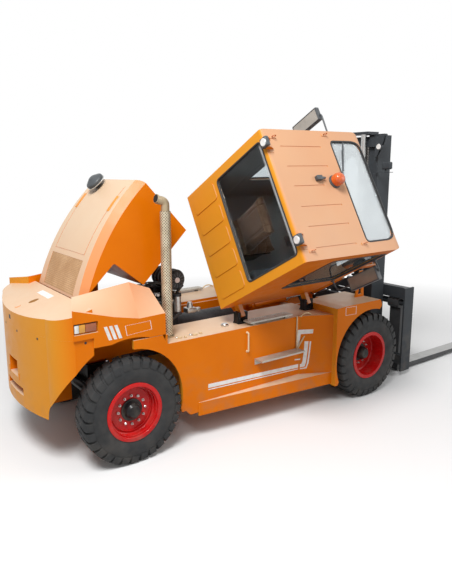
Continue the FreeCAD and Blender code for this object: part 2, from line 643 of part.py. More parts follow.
# stations of a cowl side: outer x, inner x, outer top, inner top
WING = ((-660, -515, 1866, 1919), (-200, -90, 1733, 1972), (110, 180, 1667, 2005), (440, 450, 1678, 1899))
cowl_parts = [deck_sloped]
for side_name, side in SIDES.items():
    sections = []
    for number, (outer_x, inner_x, outer_top, inner_top) in enumerate(WING):
        corners = [Vector(outer_x, side * d.side_half_width, d.cowl_bottom),
                   Vector(outer_x, side * d.side_half_width, outer_top),
                   Vector(inner_x, side * d.cowl_inner, inner_top),
                   Vector(inner_x, side * d.cowl_inner, d.cowl_bottom)]
        station = doc.addObject("Part::Feature", f"wing_{side_name}_{number}")
        station.Shape = Part.makePolygon(corners + corners[:1])
        sections.append(station)
    wing = doc.addObject("Part::Loft", "wing_" + side_name)
    wing.Sections = sections
    wing.Solid = True
    wing.Ruled = True
    cowl_parts.append(wing)
wheel_clear = cross_rod("cowl_wheel_clear", "weight_arch_radius", 0, axle_z, 1, (-1300, 1300))
lamp_x = (-650, -650 + d.lamp_length)
recesses, lamps = [], []
for side_name, side in SIDES.items():
    lamp_floor = d.side_half_width - d.lamp_recess_depth
    recesses.append(mirrored_slab("lamp_recess_" + side_name, side, lamp_x,
                                  (lamp_floor, lamp_floor + 100), (1600, 1600 + d.lamp_height)))
    lamps.append(mirrored_slab("lamp_" + side_name, side, (lamp_x[0] + 10, lamp_x[1] - 10),
                               (lamp_floor + d.seat_gap, lamp_floor + 20), (1610, 1590 + d.lamp_height)))
hinge_x, hinge_z = d.hood_hinge_x, d.hood_hinge_z
lug_in, lug_out = d.hood_lug_y - d.hood_lug_width / 2, d.hood_lug_y + d.hood_lug_width / 2
for side_name, side in SIDES.items():
    for cheek_name, y in (("in", (lug_in - 21, lug_in - 5)), ("out", (lug_out + 5, lug_out + 21))):
        cowl_parts.append(mirrored_slab(f"hood_cheek_{cheek_name}_{side_name}", side,
                                        (front_face - 10, hinge_x + 20), y, (hinge_z - 60, hinge_z + 18)))
    cowl_parts.append(cross_rod("hood_pin_" + side_name, "hood_pin_radius", hinge_x, hinge_z, side,
                                (lug_in - 21, lug_out + 21)))
pin_way = rod("tow_pin_way", "tow_pin_radius + 4", 500, (pin_x, 0, seam - 10))
weight_room = slab("weight_room", (-1300, front_face + d.seat_gap), (-1300, 1300), (1300, seam))
node(cut("rear_cowl", fuse("cowl_whole", *cowl_parts), wheel_clear, weight_room, pin_way, *recesses))
node(group("tail_lamps", *lamps))

# ------------------------------------------------------------ engine and bay

block_x = (d.block_rear, d.block_rear + d.block_length)
block_half, head_half = d.block_width / 2, d.head_width / 2
mount_reach = frame_inside - d.seat_gap
node(fuse("engine",
          slab("engine_block", block_x, (-block_half, block_half), (d.block_bottom, d.block_top)),
          slab("engine_head", (block_x[0] + 40, block_x[1] - 40), (-head_half, head_half),
               (d.block_top, d.head_top)),
          slab("engine_mount", (block_x[1] - 180, block_x[1] - 100), (-mount_reach, mount_reach),
               (d.gearbox_z - 60, d.gearbox_z + 20)),
          rod("flywheel_case", "gearbox_radius + 30", 160, (block_x[1], 0, d.gearbox_z), "x"),
          rod("gearbox", "gearbox_radius", "gearbox_length", (block_x[1] + 160, 0, d.gearbox_z), "x")))
radiator_half = d.radiator_width / 2
radiator_low = d.frame_top + d.seat_gap
node(slab("radiator", (-240, -130), (-radiator_half, radiator_half),
          (radiator_low, radiator_low + d.radiator_height)))
cleaner_x = block_x[1] - 90
node(fuse("air_cleaner",
          rod("cleaner_can", "cleaner_radius", "cleaner_length", (cleaner_x, -440, d.cleaner_z), "y"),
          rod("cleaner_cap", "cleaner_radius - 20", 30, (cleaner_x, -465, d.cleaner_z), "y"),
          slab("cleaner_bracket", (cleaner_x - 60, cleaner_x + 20), (-230, -30),
               (d.head_top + d.seat_gap, d.cleaner_z))))
stack_x, stack_y = d.stack_x, d.stack_y
stack_low = d.deck_height + d.seat_gap
node(fuse("exhaust_stack",
          rod("stack_foot", 80, 14, (stack_x, stack_y, stack_low)),
          pipe("stack_pipe", "stack_radius",
               [(stack_x, stack_y, stack_low + 5), (stack_x, stack_y, stack_low + d.stack_height),
                (stack_x - d.stack_elbow, stack_y, stack_low + d.stack_height + 25)], 60)))

# ---------------------------------------------------------------------- hood

HOOD_STATIONS = 7

hood_reach = d.hood_front - d.hood_rear


def hood_top(x, inset=0):
    """Height of the hood's bowed top over a place along its length."""
    return d.hood_arc_z + math.sqrt((d.hood_arc_radius - inset) ** 2 - (x - d.hood_arc_x) ** 2)


def hood_side(inset):
    """Side outline of the hood when closed, left open above its bowed top."""
    front, rear = d.hood_front - inset, d.hood_rear + inset
    under = d.hood_bottom - (10 if inset else 0)
    rear_under = d.hood_rear_bottom - (10 if inset else 0)
    step = d.hood_step + inset
    return [(front, under), (front, hood_top(front, inset) + 16, d.hood_front_radius - inset),
            (front - 400, hood_top(front, inset) + 60), (rear, hood_top(front, inset) + 60),
            (rear, rear_under), (step - d.hood_step_lean, rear_under, 30), (step, under)]


def hood_solid(name, inset):
    """The hood's volume: bevelled sections that taper forward under the bowed top, cut to the side outline."""
    sections = []
    for number in range(HOOD_STATIONS):
        x = d.hood_rear - 20 + (hood_reach + 40) * number / (HOOD_STATIONS - 1)
        half = d.hood_half_width - inset - d.hood_taper * (x - d.hood_rear)
        top, flat = hood_top(x, inset), half - d.hood_bevel
        shoulder = top - d.hood_bevel_drop
        corners = [Vector(x, s * y, z) for s, y, z in (
            (-1, half, d.hood_bottom - 60), (-1, half, shoulder), (-1, flat, top),
            (1, flat, top), (1, half, shoulder), (1, half, d.hood_bottom - 60))]
        station = doc.addObject("Part::Feature", f"{name}_station_{number}")
        station.Shape = Part.makePolygon(corners + corners[:1])
        sections.append(station)
    tunnel = doc.addObject("Part::Loft", name + "_tunnel")
    tunnel.Sections = sections
    tunnel.Solid = True
    tunnel.Ruled = False
    sides = plate(name + "_sides", "XZ", [hood_side(inset)], 2 * d.hood_half_width + 100)
    return common(name, sides, tunnel)


def on_hood_top(obj, x, y, above_top=0):
    """Lays an object drawn about the origin on the hood's top, square to the bow."""
    lean = math.asin((x - d.hood_arc_x) / d.hood_arc_radius)
    turn = Rotation(Y_AXIS, math.degrees(lean))
    lift = turn.multVec(Vector(0, 0, above_top))
    obj.Placement = Placement(Vector(x, y, hood_top(x)) + lift, turn).multiply(obj.Placement)
    return obj


hood_lugs, hood_bores = [], []
for side_name, side in SIDES.items():
    hood_lugs.append(mirrored_slab("hood_lug_" + side_name, side, (hinge_x - 24, hinge_x + 110),
                                   (lug_in, lug_out), (hinge_z - 24, hinge_z + 32)))
    hood_bores.append(cross_rod("hood_bore_" + side_name, "hood_pin_radius + running_gap",
                                hinge_x, hinge_z, side, (lug_in - 10, lug_out + 10)))
grille_from = d.hood_rear + d.grille_rear
grille_room = slab("grille_room", (grille_from, grille_from + d.grille_length),
                   (-d.grille_width / 2, d.grille_width / 2), (hinge_z, hood_top(d.hood_front) + 60))
grille_recess = cut("grille_recess", grille_room, hood_solid("grille_floor", d.grille_depth))
groove, groove_y = d.hood_groove, d.hood_groove_y
groove_from = grille_from + d.grille_length + d.hood_groove_rear
groove_top = hood_top(d.hood_front) + 60
groove_rooms = [mirrored_slab("hood_groove_" + n, s, (groove_from, d.hood_front - 160),
                              (groove_y, groove_y + groove), (hinge_z, groove_top)) for n, s in SIDES.items()]
groove_rooms.append(slab("hood_groove_across", (groove_from, groove_from + groove), (-groove_y, groove_y),
                         (hinge_z, groove_top)))
hood_grooves = cut("hood_grooves", fuse("hood_groove_room", *groove_rooms),
                   hood_solid("groove_floor", d.hood_groove / 2))
hood_shell = cut("hood_shell", hood_solid("hood_outer", 0), hood_solid("hood_inner", d.hood_wall))
node(cut("hood", fuse("hood_with_lugs", hood_shell, *hood_lugs), grille_recess, hood_grooves, *hood_bores), hood_raised)
cap = turned("precleaner_cap", [(0, 0), (8, d.precleaner_radius - 10, 8), (60, d.precleaner_radius, 25),
                                (110, 40, 30), (115, 0)], (0, 0, 0))
cap.Placement = Placement(Vector(0, 0, 40), Rotation(Y_AXIS, Z_AXIS))
stem = rod("precleaner_stem", 45, 60, (0, 0, d.seat_gap))
node(on_hood_top(fuse("pre_cleaner", cap, stem), d.precleaner_x, d.precleaner_y), hood_raised)

# ----------------------------------------------------------------------- cab

rear, front = d.cab_rear, d.cab_front
half, floor, roof, wall = d.cab_half_width, d.cab_floor, d.cab_roof, d.cab_wall
floor_top = floor + d.cab_floor_thickness


CAB_KNEE = 700


def cab_outline(inset):
    """Side outline of the cab: upright back, bowed front that leans in to the roof."""
    low = floor + (d.cab_floor_thickness if inset else 0)
    bulge = d.cab_bulge
    return [(rear + inset, low, 20), (front - inset, low, 60), (front + bulge - inset, floor + CAB_KNEE, 300),
            (front - bulge - inset, roof - inset, 170), (rear + inset, roof - inset, 40)]


def rear_loop(gap=0):
    w, low, high = d.window_half_width - gap, floor + d.rear_window_low + gap, floor + d.rear_window_high - gap
    return rect(-w, low, w, high, 60 - gap)


def front_loop(gap=0):
    w = d.window_half_width - 70 - gap
    return rect(-w, floor + d.windscreen_low + gap, w, roof - d.windscreen_drop - gap, 60 - gap)


def roof_loop(gap=0):
    w = d.window_half_width - 20 - gap
    back, ahead = rear + d.roof_window_rear + gap, rear + d.roof_window_front - gap
    wide = d.roof_window_corner - gap
    return [(back, -w, 60 - gap), (ahead, -w, wide), (ahead, w, wide), (back, w, 60 - gap)]


def side_loop(gap=0):
    return rect(d.door_rear + gap, floor + 620 + gap, d.door_front - gap, roof - 130 - gap, 60 - gap)


door_low, door_high = floor + 70, roof - 90
door_loop = rect(d.door_rear, door_low, d.door_front, door_high, 60)


def openings(gap):
    """Tools through the cab's walls for its four fixed windows."""
    tag = "pane" if gap else "window"
    return [plate("rear_" + tag, "YZ", [rear_loop(gap)], 200, (rear, 0, 0)),
            plate("front_" + tag, "YZ", [front_loop(gap)], 400, (front, 0, 0)),
            plate("roof_" + tag, "XY", [roof_loop(gap)], 200, (0, 0, roof)),
            plate("side_" + tag, "XZ", [side_loop(gap)], 200, (0, -half, 0))]


def cab_body(name, inset):
    """The cab's volume: its side outline, with the two front corners rounded in plan."""
    side_half, knee = half - inset, front + d.cab_bulge - inset
    body = plate(name + "_sides", "XZ", [cab_outline(inset)], 2 * side_half)
    radius = d.cab_corner_radius - inset
    leans = ((math.degrees(math.atan2(d.cab_bulge, CAB_KNEE)), "low"),
             (-math.degrees(math.atan2(2 * d.cab_bulge, roof - floor - CAB_KNEE)), "high"))
    for lean, level in leans:
        tool = plate(f"{name}_corners_{level}", "XY",
                     [[(-3500, -side_half), (0, -side_half, radius), (0, side_half, radius),
                       (-3500, side_half)]], 6000)
        tool.Placement = Placement(Vector(knee, 0, floor + CAB_KNEE),
                                   Rotation(Y_AXIS, lean)).multiply(tool.Placement)
        body = common(f"{name}_{level}", body, tool)
    return body


hinge_xs = (("rear", rear + d.cab_hinge_inset), ("front", front - d.cab_hinge_inset))
pin_y, pin_z = d.cab_hinge_y, d.cab_hinge_z
cab_parts = [cut("cab_hollow", cab_body("cab_outer", 0), cab_body("cab_inner", wall),
                 plate("door_opening", "XZ", [door_loop], 200, (0, half, 0)), *openings(0))]
cab_bores = []
rib_half = d.back_rib_width / 2
for number in range(-2, 3):
    y = number * d.back_rib_pitch
    cab_parts.append(plate(f"back_rib_{number + 2}", "YZ",
                           [rect(y - rib_half, floor + d.back_rib_low, y + rib_half, floor + d.back_rib_high, 45)],
                           2 * d.back_rib_depth, (rear, 0, 0)))
# pressed lines along the roof: place across from the right side, front end from the rear
for number, (across_roof, end) in enumerate(((135, 840), (380, 840), (615, 840), (863, 670), (1105, 840),
                                             (1354, 840))):
    y = across_roof - half
    cab_bores.append(slab(f"roof_groove_{number}", (rear + 210, rear + end),
                          (y - d.roof_groove_width / 2, y + d.roof_groove_width / 2),
                          (roof - d.roof_groove_depth, roof + 20)))
for n, x in hinge_xs:
    cab_parts.append(slab("hinge_arm_" + n, (x - 30, x + 30), (pin_y - 40, -half + 8), (pin_z - 42, pin_z + 48)))
    cab_bores.append(rod("hinge_bore_" + n, "cab_pin_radius + running_gap", 80, (x - 40, pin_y, pin_z), "x"))

# cheeks for the tilt cylinder's eye, on the front right pillar
eye_y, eye_z = d.lifter_eye_y, d.lifter_eye_z
for n, x in (("rear", lifter_x - lug_half - d.cheek_thickness), ("front", lifter_x + lug_half)):
    cab_parts.append(plate("eye_cheek_" + n, "YZ",
                           [rect(eye_y - 68, eye_z - 45, eye_y + 45, eye_z + 45, 15)],
                           "cheek_thickness", (x + d.cheek_thickness / 2, 0, 0)))
cab_parts.append(slab("eye_foot", (front - 80, lifter_x + lug_half + d.cheek_thickness),
                      (eye_y - 68, eye_y - 50), (eye_z - 45, eye_z + 45)))
cab_parts.append(slab("eye_foot_bar", (lifter_x - lug_half - d.cheek_thickness, lifter_x + lug_half
                                       + d.cheek_thickness),
                      (eye_y - 68, eye_y - 50), (eye_z - 45, eye_z + 45)))

# door hinge pins, outside the left wall behind the opening
door_x, door_y = d.door_rear - 2, half + d.door_hinge_out
barrel_zs = (floor + 350, floor + 1150)
for number, z in enumerate(barrel_zs):
    cab_parts.append(slab(f"door_bracket_{number}", (door_x - 40, door_x + 8), (half - 8, door_y + 12),
                          (z - 30, z - 5)))
    cab_parts.append(rod(f"door_pin_{number}", "door_pin_radius", 105, (door_x, door_y, z - 30)))
node(cut("cab_shell", fuse("cab_with_arms", *cab_parts), *cab_bores), cab_tilted)

inset, pane = d.glass_inset, d.glass_thickness
glass_skin = cut("glass_skin", plate("glass_outer", "XZ", [cab_outline(inset)], "2 * (cab_half_width - glass_inset)"),
                 plate("glass_inner", "XZ", [cab_outline(inset + pane)],
                       "2 * (cab_half_width - glass_inset - glass_thickness)"))
node(common("cab_glass", glass_skin, fuse("pane_tools", *openings(d.seat_gap))), cab_tilted)

gap = d.door_gap
leaf_loop = rect(d.door_rear + gap, door_low + gap, d.door_front - gap, door_high - gap, 60 - gap)


def door_window(gap=0):
    return rect(d.door_rear + 110 + gap, floor + 560 + gap, d.door_front - 110 - gap, roof - 190 - gap, 50 - gap)


leaf_y = half - 2 - d.door_thickness / 2
leaf = plate("door_leaf", "XZ", [leaf_loop, door_window()], "door_thickness", (0, leaf_y, 0))
leaf_parts, leaf_bores = [leaf], []
for number, z in enumerate(barrel_zs):
    leaf_parts.append(rod(f"door_barrel_{number}", "door_barrel_radius", 60, (door_x, door_y, z)))
    leaf_parts.append(slab(f"door_strap_{number}", (door_x, door_x + 90), (half + 6, half + 16), (z, z + 60)))
    leaf_parts.append(slab(f"door_strap_foot_{number}", (door_x + 40, door_x + 90), (half - 8, half + 10),
                           (z, z + 60)))
    leaf_bores.append(rod(f"door_bore_{number}", "door_pin_radius + running_gap", 80,
                          (door_x, door_y, z - 10)))
node(cut("door_left", fuse("door_whole", *leaf_parts), *leaf_bores), cab_tilted)
node(plate("door_glass_left", "XZ", [door_window(d.seat_gap)], "glass_thickness", (0, leaf_y, 0)), cab_tilted)

# ------------------------------------------------------------ driver's place

seat_x, seat_half = d.seat_x, d.seat_width / 2
seat_low = floor_top + d.seat_gap
node(fuse("seat_frame",
          slab("seat_pedestal", (seat_x - 210, seat_x + 210), (-210, 210), (seat_low, seat_low + 300)),
          slab("seat_tray", (seat_x - 250, seat_x + 250), (-240, 240), (seat_low + 300, seat_low + 330))),
     cab_tilted)
cushion_low = seat_low + 330 + d.seat_gap
node(slab("seat_cushion", (seat_x - 240, seat_x + 260), (-seat_half, seat_half),
          (cushion_low, cushion_low + 110)), cab_tilted)
back_low = cushion_low + 110 + d.seat_gap
node(plate("seat_back", "XZ", [[(seat_x - 240, back_low, 20), (seat_x - 120, back_low, 20),
                                (seat_x - 260, back_low + 670, 40), (seat_x - 360, back_low + 670, 40)]],
           "seat_width - 30"), cab_tilted)
column_x = d.column_x
wheel_middle = Vector(column_x - 190, 0, floor + 830)
wheel_axis = Rotation(Y_AXIS, -d.column_lean).multVec(Z_AXIS)
node(fuse("steering_column",
          slab("column_foot", (column_x + 40, column_x + 200), (-80, 80), (seat_low, seat_low + 20)),
          bar_between("column_tube", 42, on_line(wheel_middle, wheel_axis, -d.column_length),
                      on_line(wheel_middle, wheel_axis, -60 - d.seat_gap)),
          slab("dashboard", (column_x - 120, front - wall - 20), (-550, 550), (floor + 600, floor + 700))),
     cab_tilted)
lean = Placement(wheel_middle, Rotation(Y_AXIS, -d.column_lean))
ring = doc.addObject("Part::Torus", "steering_ring")
ring.Radius2 = 15
bind(ring, Radius1="steering_radius")
spokes = slab("steering_spokes", (-d.steering_radius, d.steering_radius), (-20, 20), (-7, 7))
boss = rod("steering_boss", 40, 60, (0, 0, -60))
wheel = fuse("steering_wheel", ring, spokes, boss)
wheel.Placement = lean
node(wheel, cab_tilted)

hinge_bars = []
deck_seat = d.deck_height + d.seat_gap
for n, x in hinge_xs:
    for cheek, near in (("a", x - 80), ("b", x + 35)):
        hinge_bars.append(slab(f"cheek_{n}_{cheek}", (near, near + 45), (pin_y - 45, pin_y + 45),
                               (deck_seat, pin_z + 38)))
    hinge_bars.append(rod("hinge_pin_" + n, "cab_pin_radius", 170, (x - 85, pin_y, pin_z), "x"))
    hinge_bars.append(slab("hinge_foot_" + n, (x - 80, x + 80), (pin_y - 60, pin_y + 60),
                           (deck_seat, deck_seat + 14)))
node(group("cab_hinge_brackets", *[fuse(f"hinge_bracket_{n}", *hinge_bars[4 * i:4 * i + 4])
                                   for i, (n, x) in enumerate(hinge_xs)]))


# ------------------------------------------------------------- cab's cylinder


base = Vector(lifter_x, lifter_y, lifter_z)
eye = cab_tilted.multVec(Vector(lifter_x, eye_y, eye_z))
along = eye - base
reach = along.Length
along.normalize()


eye_width, eye_radius = d.lifter_eye_width, d.lifter_eye_radius
barrel = fuse("lifter_barrel_whole",
              rod("lifter_base_eye", "lifter_eye_radius", eye_width, (lifter_x - eye_width / 2, lifter_y, lifter_z),
                  "x"),
              bar_between("lifter_neck", 24, on_line(base, along, 25), on_line(base, along, 90)),
              bar_between("lifter_tube", "lifter_radius", on_line(base, along, 80),
                          on_line(base, along, d.lifter_barrel)))
node(cut("cab_tilt_barrel", barrel,
         rod("lifter_base_bore", "lifter_pin_radius + running_gap", eye_width + 40,
             (lifter_x - eye_width / 2 - 20, lifter_y, lifter_z), "x"),
         bar_between("lifter_rod_bore", "lifter_rod_radius + running_gap", on_line(base, along, 110),
                     on_line(base, along, d.lifter_barrel + 10))))
node(fuse("cab_tilt_rod",
          bar_between("lifter_rod", "lifter_rod_radius", on_line(base, along, d.lifter_rod_start),
                      on_line(base, along, reach - 10)),
          rod("lifter_rod_eye", "lifter_eye_radius", eye_width, (lifter_x - eye_width / 2, eye.y, eye.z), "x")))

# ---------------------------------------------------------------------- mast


def channel(name, side, outside, rear_x, depth, low, high, width):
    """A mast upright: a channel open towards the middle of the truck."""
    web, flange = d.channel_web, d.channel_flange
    inside = outside - width
    front_x = rear_x + depth
    loop = [(rear_x, inside), (rear_x, outside), (front_x, outside), (front_x, inside),
            (front_x - flange, inside), (front_x - flange, outside - web),
            (rear_x + flange, outside - web), (rear_x + flange, inside)]
    return plate(name, "XY", [[(p[0], side * p[1]) for p in loop]], high - low, (0, 0, (low + high) / 2))


mast_rear, depth, mast_half = d.mast_rear, d.mast_depth, d.mast_half_width
low, high = d.mast_bottom, d.mast_top
beam_x = (mast_rear - d.beam_depth, mast_rear + 5)
outer_parts, mast_bores = [], []
for name, z in (("outer_top_beam", (high - 170, high - 20)), ("outer_middle_beam", (1900, 2030)),
                ("outer_tilt_beam", (d.tilt_beam_z, d.tilt_beam_z + d.tilt_beam_height)),
                ("outer_low_beam", (250, 400))):
    outer_parts.append(slab(name, beam_x, (-mast_half, mast_half), z))
tilt_in = d.tilt_y - d.tilt_eye_width / 2 - 8
tilt_out = d.tilt_y + d.tilt_eye_width / 2 + 8
for side_name, side in SIDES.items():
    outer_parts.append(channel("outer_channel_" + side_name, side, mast_half, mast_rear, depth, low, high,
                               d.channel_width))
    outer_parts.append(mirrored_slab("pivot_ear_" + side_name, side, (pivot_x - 60, mast_rear + 5),
                                     (530, 590), (pivot_z - 110, pivot_z + 120)))
    outer_parts.append(mirrored_slab("pivot_foot_" + side_name, side, (mast_rear - 45, mast_rear + 5),
                                     (530, 760), (pivot_z - 140, pivot_z + 130)))
    mast_bores.append(cross_rod("pivot_bore_" + side_name, "mast_pin_radius + running_gap", pivot_x, pivot_z,
                                side, (frame_inside, d.mast_pin_end + 20)))
    for cheek_name, y in (("in", (tilt_in - d.cheek_thickness, tilt_in)),
                          ("out", (tilt_out, tilt_out + d.cheek_thickness))):
        outer_parts.append(mirrored_slab(f"tilt_cheek_{cheek_name}_{side_name}", side,
                                         (d.tilt_eye_x - 45, mast_rear), y,
                                         (d.tilt_eye_z - 45, d.tilt_eye_z + 45)))
node(cut("mast_outer", fuse("mast_outer_whole", *outer_parts), *mast_bores))

lift_x = mast_rear - d.beam_depth - d.lift_radius - d.seat_gap
barrels = []
for side_name, side in SIDES.items():
    tube = rod("lift_tube_" + side_name, "lift_radius", d.lift_barrel_top - d.lift_bottom,
               (lift_x, side * d.lift_y, d.lift_bottom))
    bore = rod("lift_bore_" + side_name, "lift_rod_radius + running_gap", 2000,
               (lift_x, side * d.lift_y, d.lift_rod_bottom - 20))
    barrels.append(cut("lift_barrel_" + side_name, tube, bore))
node(group("lift_cylinders", *barrels))

inner_gap = d.mast_gap
inner_outside = mast_half - d.channel_web - inner_gap
inner_rear = mast_rear + d.channel_flange + inner_gap
inner_depth = depth - 2 * (d.channel_flange + inner_gap)
inner_width = d.channel_width + d.inner_width_extra
inner_inside = inner_outside - inner_width
inner_parts = []
for side_name, side in SIDES.items():
    inner_parts.append(channel("inner_channel_" + side_name, side, inner_outside, inner_rear, inner_depth,
                               low + 20, d.crown_bottom + 5, inner_width))
    inner_parts.append(rod("lift_rod_" + side_name, "lift_rod_radius",
                           d.crown_bottom + 5 - d.lift_rod_bottom, (lift_x, side * d.lift_y, d.lift_rod_bottom)))
for name, z in (("inner_top_beam", (high - 160, high - 30)), ("inner_low_beam", (300, 420))):
    inner_parts.append(slab(name, (inner_rear, inner_rear + 50), (-inner_inside - 30, inner_inside + 30), z))
inner_parts.append(slab("inner_crown", (lift_x - d.lift_rod_radius, inner_rear + 50),
                        (-inner_outside + 40, inner_outside - 40),
                        (d.crown_bottom, d.crown_bottom + d.crown_height)))
node(fuse("mast_inner", *inner_parts))

# ----------------------------------------------------- mast's tilt cylinders

tilt_base = Vector(d.tilt_base_x, 0, d.tilt_base_z)
tilt_eye = Vector(d.tilt_eye_x, 0, d.tilt_eye_z)
tilt_along = tilt_eye - tilt_base
tilt_reach = tilt_along.Length
tilt_along.normalize()
tilt_barrels, tilt_rods = [], []
eye_half = d.tilt_eye_width / 2
for side_name, side in SIDES.items():
    offset = Vector(0, side * d.tilt_y, 0)
    eye_span = (d.tilt_y - eye_half, d.tilt_y + eye_half)
    body = fuse("tilt_body_" + side_name,
                cross_rod("tilt_base_eye_" + side_name, 48, tilt_base.x, tilt_base.z, side, eye_span),
                bar_between("tilt_tube_" + side_name, "tilt_radius", on_line(tilt_base + offset, tilt_along, 40),
                            on_line(tilt_base + offset, tilt_along, d.tilt_barrel)))
    tilt_barrels.append(cut("tilt_barrel_" + side_name, body,
                            cross_rod("tilt_base_bore_" + side_name, "tilt_pin_radius + running_gap",
                                      tilt_base.x, tilt_base.z, side, (eye_span[0] - 30, eye_span[1] + 30)),
                            bar_between("tilt_bore_" + side_name, "tilt_rod_radius + running_gap",
                                        on_line(tilt_base + offset, tilt_along, 90),
                                        on_line(tilt_base + offset, tilt_along, d.tilt_barrel + 10))))
    tilt_rods.append(fuse("tilt_rod_" + side_name,
                          bar_between("tilt_shaft_" + side_name, "tilt_rod_radius",
                                      on_line(tilt_base + offset, tilt_along, d.tilt_rod_start),
                                      on_line(tilt_base + offset, tilt_along, tilt_reach - 10)),
                          cross_rod("tilt_eye_" + side_name, 42, tilt_eye.x, tilt_eye.z, side, eye_span)))
node(group("tilt_barrels", *tilt_barrels))
node(group("tilt_rods", *tilt_rods))

# -------------------------------------------------------- carriage and forks

car_rear, car_half = d.carriage_rear, d.carriage_half_width
car_low, car_high = d.carriage_bottom, d.carriage_top
beam_rear, beam_front = car_rear + 30, d.beam_front
shaft_x, shaft_z = d.fork_shaft_x, d.fork_shaft_z
shaft_seat = d.fork_shaft_radius
car_parts = [slab("carriage_top_beam", (beam_rear, beam_front + 20), (-car_half, car_half),
                  (car_high - 175, car_high)),
             slab("carriage_low_beam", (beam_rear, beam_front - d.seat_gap), (-car_half, car_half), (170, 330)),
             cross_rod("fork_shaft", "fork_shaft_radius", shaft_x, shaft_z, 1, (-car_half + 10, car_half - 10))]
for side_name, side in SIDES.items():
    car_parts.append(mirrored_slab("carriage_end_" + side_name, side, (car_rear, car_rear + d.carriage_depth),
                                   (car_half - d.end_plate, car_half), (car_low, car_high)))
    post = (d.post_y - 30, d.post_y + 30)
    car_parts.append(mirrored_slab("carriage_post_" + side_name, side, (inner_rear + 60, beam_rear + 10), post,
                                   (car_low, car_high)))
    car_parts.append(mirrored_slab("shaft_cheek_" + side_name, side, (beam_rear, beam_front + 60), (280, 320),
                                   (shaft_z - 90, car_high - 100)))
    for level, z in (("low", 350), ("high", 1150)):
        car_parts.append(cross_rod(f"roller_{level}_{side_name}", "roller_radius", d.roller_x, z, side,
                                   (inner_inside + 30, d.roller_end)))
        car_parts.append(cross_rod(f"roller_stub_{level}_{side_name}", 30, d.roller_x, z, side,
                                   (d.post_y, inner_inside + 40)))
node(fuse("carriage", *car_parts))

fork_back = beam_front
fork_face = fork_back + d.fork_thickness
tip_x = fork_face + d.fork_length
low = d.fork_bottom
heel = low + d.fork_thickness
ring_radius = d.fork_ring
for side_name, side in SIDES.items():
    loop = [(fork_back, low, 50), (fork_face + 900, low), (tip_x, heel - d.fork_tip_thickness, 4),
            (tip_x, heel, 4), (fork_face, heel, 30), (fork_face, shaft_z, 20), (shaft_x + ring_radius, shaft_z + ring_radius, 60),
            (shaft_x - ring_radius, shaft_z + ring_radius, 60),
            (shaft_x - ring_radius, shaft_z - ring_radius, 60), (fork_back, shaft_z - ring_radius - 30, 10)]
    blade = plate("fork_blade_" + side_name, "XZ", [loop], "fork_width", (0, side * d.fork_centre, 0))
    reach = d.fork_width / 2 + 10
    eye = cross_rod("fork_eye_" + side_name, "fork_shaft_radius + running_gap", shaft_x, shaft_z, side,
                    (d.fork_centre - reach, d.fork_centre + reach))
    node(cut("fork_" + side_name, blade, eye))

# ------------------------------------------------- steps, handrails, mirrors

steps = []
tread = d.tread_thickness
for side_name, side in SIDES.items():
    outside = d.side_half_width
    upper_x = (d.upper_tread_rear, d.upper_tread_rear + d.upper_tread_length)
    lower_x = (d.lower_tread_rear, d.lower_tread_rear + d.lower_tread_length)
    feet = [mirrored_slab(f"tread_foot_{side_name}_{i}", side, (x, x + 40), (985, outside - 30),
                          (deck_seat, deck_seat + 30)) for i, x in enumerate((upper_x[0] + 60, upper_x[1] - 100))]
    steps.append(fuse("upper_step_" + side_name,
                      mirrored_slab("upper_tread_" + side_name, side, upper_x, (975, outside),
                                    (deck_seat + 30, deck_seat + 30 + tread)), *feet))
    wall_y = outside + d.seat_gap
    tread_z = d.lower_tread_z
    steps.append(fuse("lower_step_" + side_name,
                      mirrored_slab("lower_tread_" + side_name, side, lower_x, (wall_y, wall_y + 150),
                                    (tread_z, tread_z + tread)),
                      mirrored_slab("lower_step_back_" + side_name, side, lower_x, (wall_y, wall_y + 8),
                                    (tread_z - 60, tread_z + tread))))
node(group("steps", *steps))

MIRROR_FOOT_DROP = 760
mirrors = []
for side_name, side in SIDES.items():
    wall_y = side * (half + 6)
    reach = d.mirror_reach if side > 0 else d.mirror_reach_right
    out_y = side * (half + reach)
    x, top = d.mirror_x, roof - 358
    foot_x, low = x - 26, top - MIRROR_FOOT_DROP
    arm = pipe("mirror_arm_" + side_name, 11,
               [(foot_x, wall_y, top), (x, out_y, top), (x, out_y, low), (foot_x, wall_y, low)], 60)
    pad = slab("mirror_head_" + side_name, (x - 45, x + 15),
               tuple(sorted((out_y - d.mirror_width / 2, out_y + d.mirror_width / 2))),
               (top - d.mirror_drop - d.mirror_height, top - d.mirror_drop))
    feet = [mirrored_slab(f"mirror_foot_{side_name}_{i}", side, (foot_x - 18, foot_x + 18),
                          (half + d.seat_gap, half + 14), (z - 24, z + 24)) for i, z in enumerate((top, low))]
    mirrors.append(fuse("mirror_" + side_name, arm, pad, *feet))
node(group("mirrors", *mirrors), cab_tilted)
node(fuse("beacon",
          rod("beacon_foot", 70, 20, (rear + 852, -half + 900, roof + d.seat_gap)),
          rod("beacon_dome", 62, 110, (rear + 852, -half + 900, roof + 20))), cab_tilted)

# ------------------------------------------------------------ write the parts

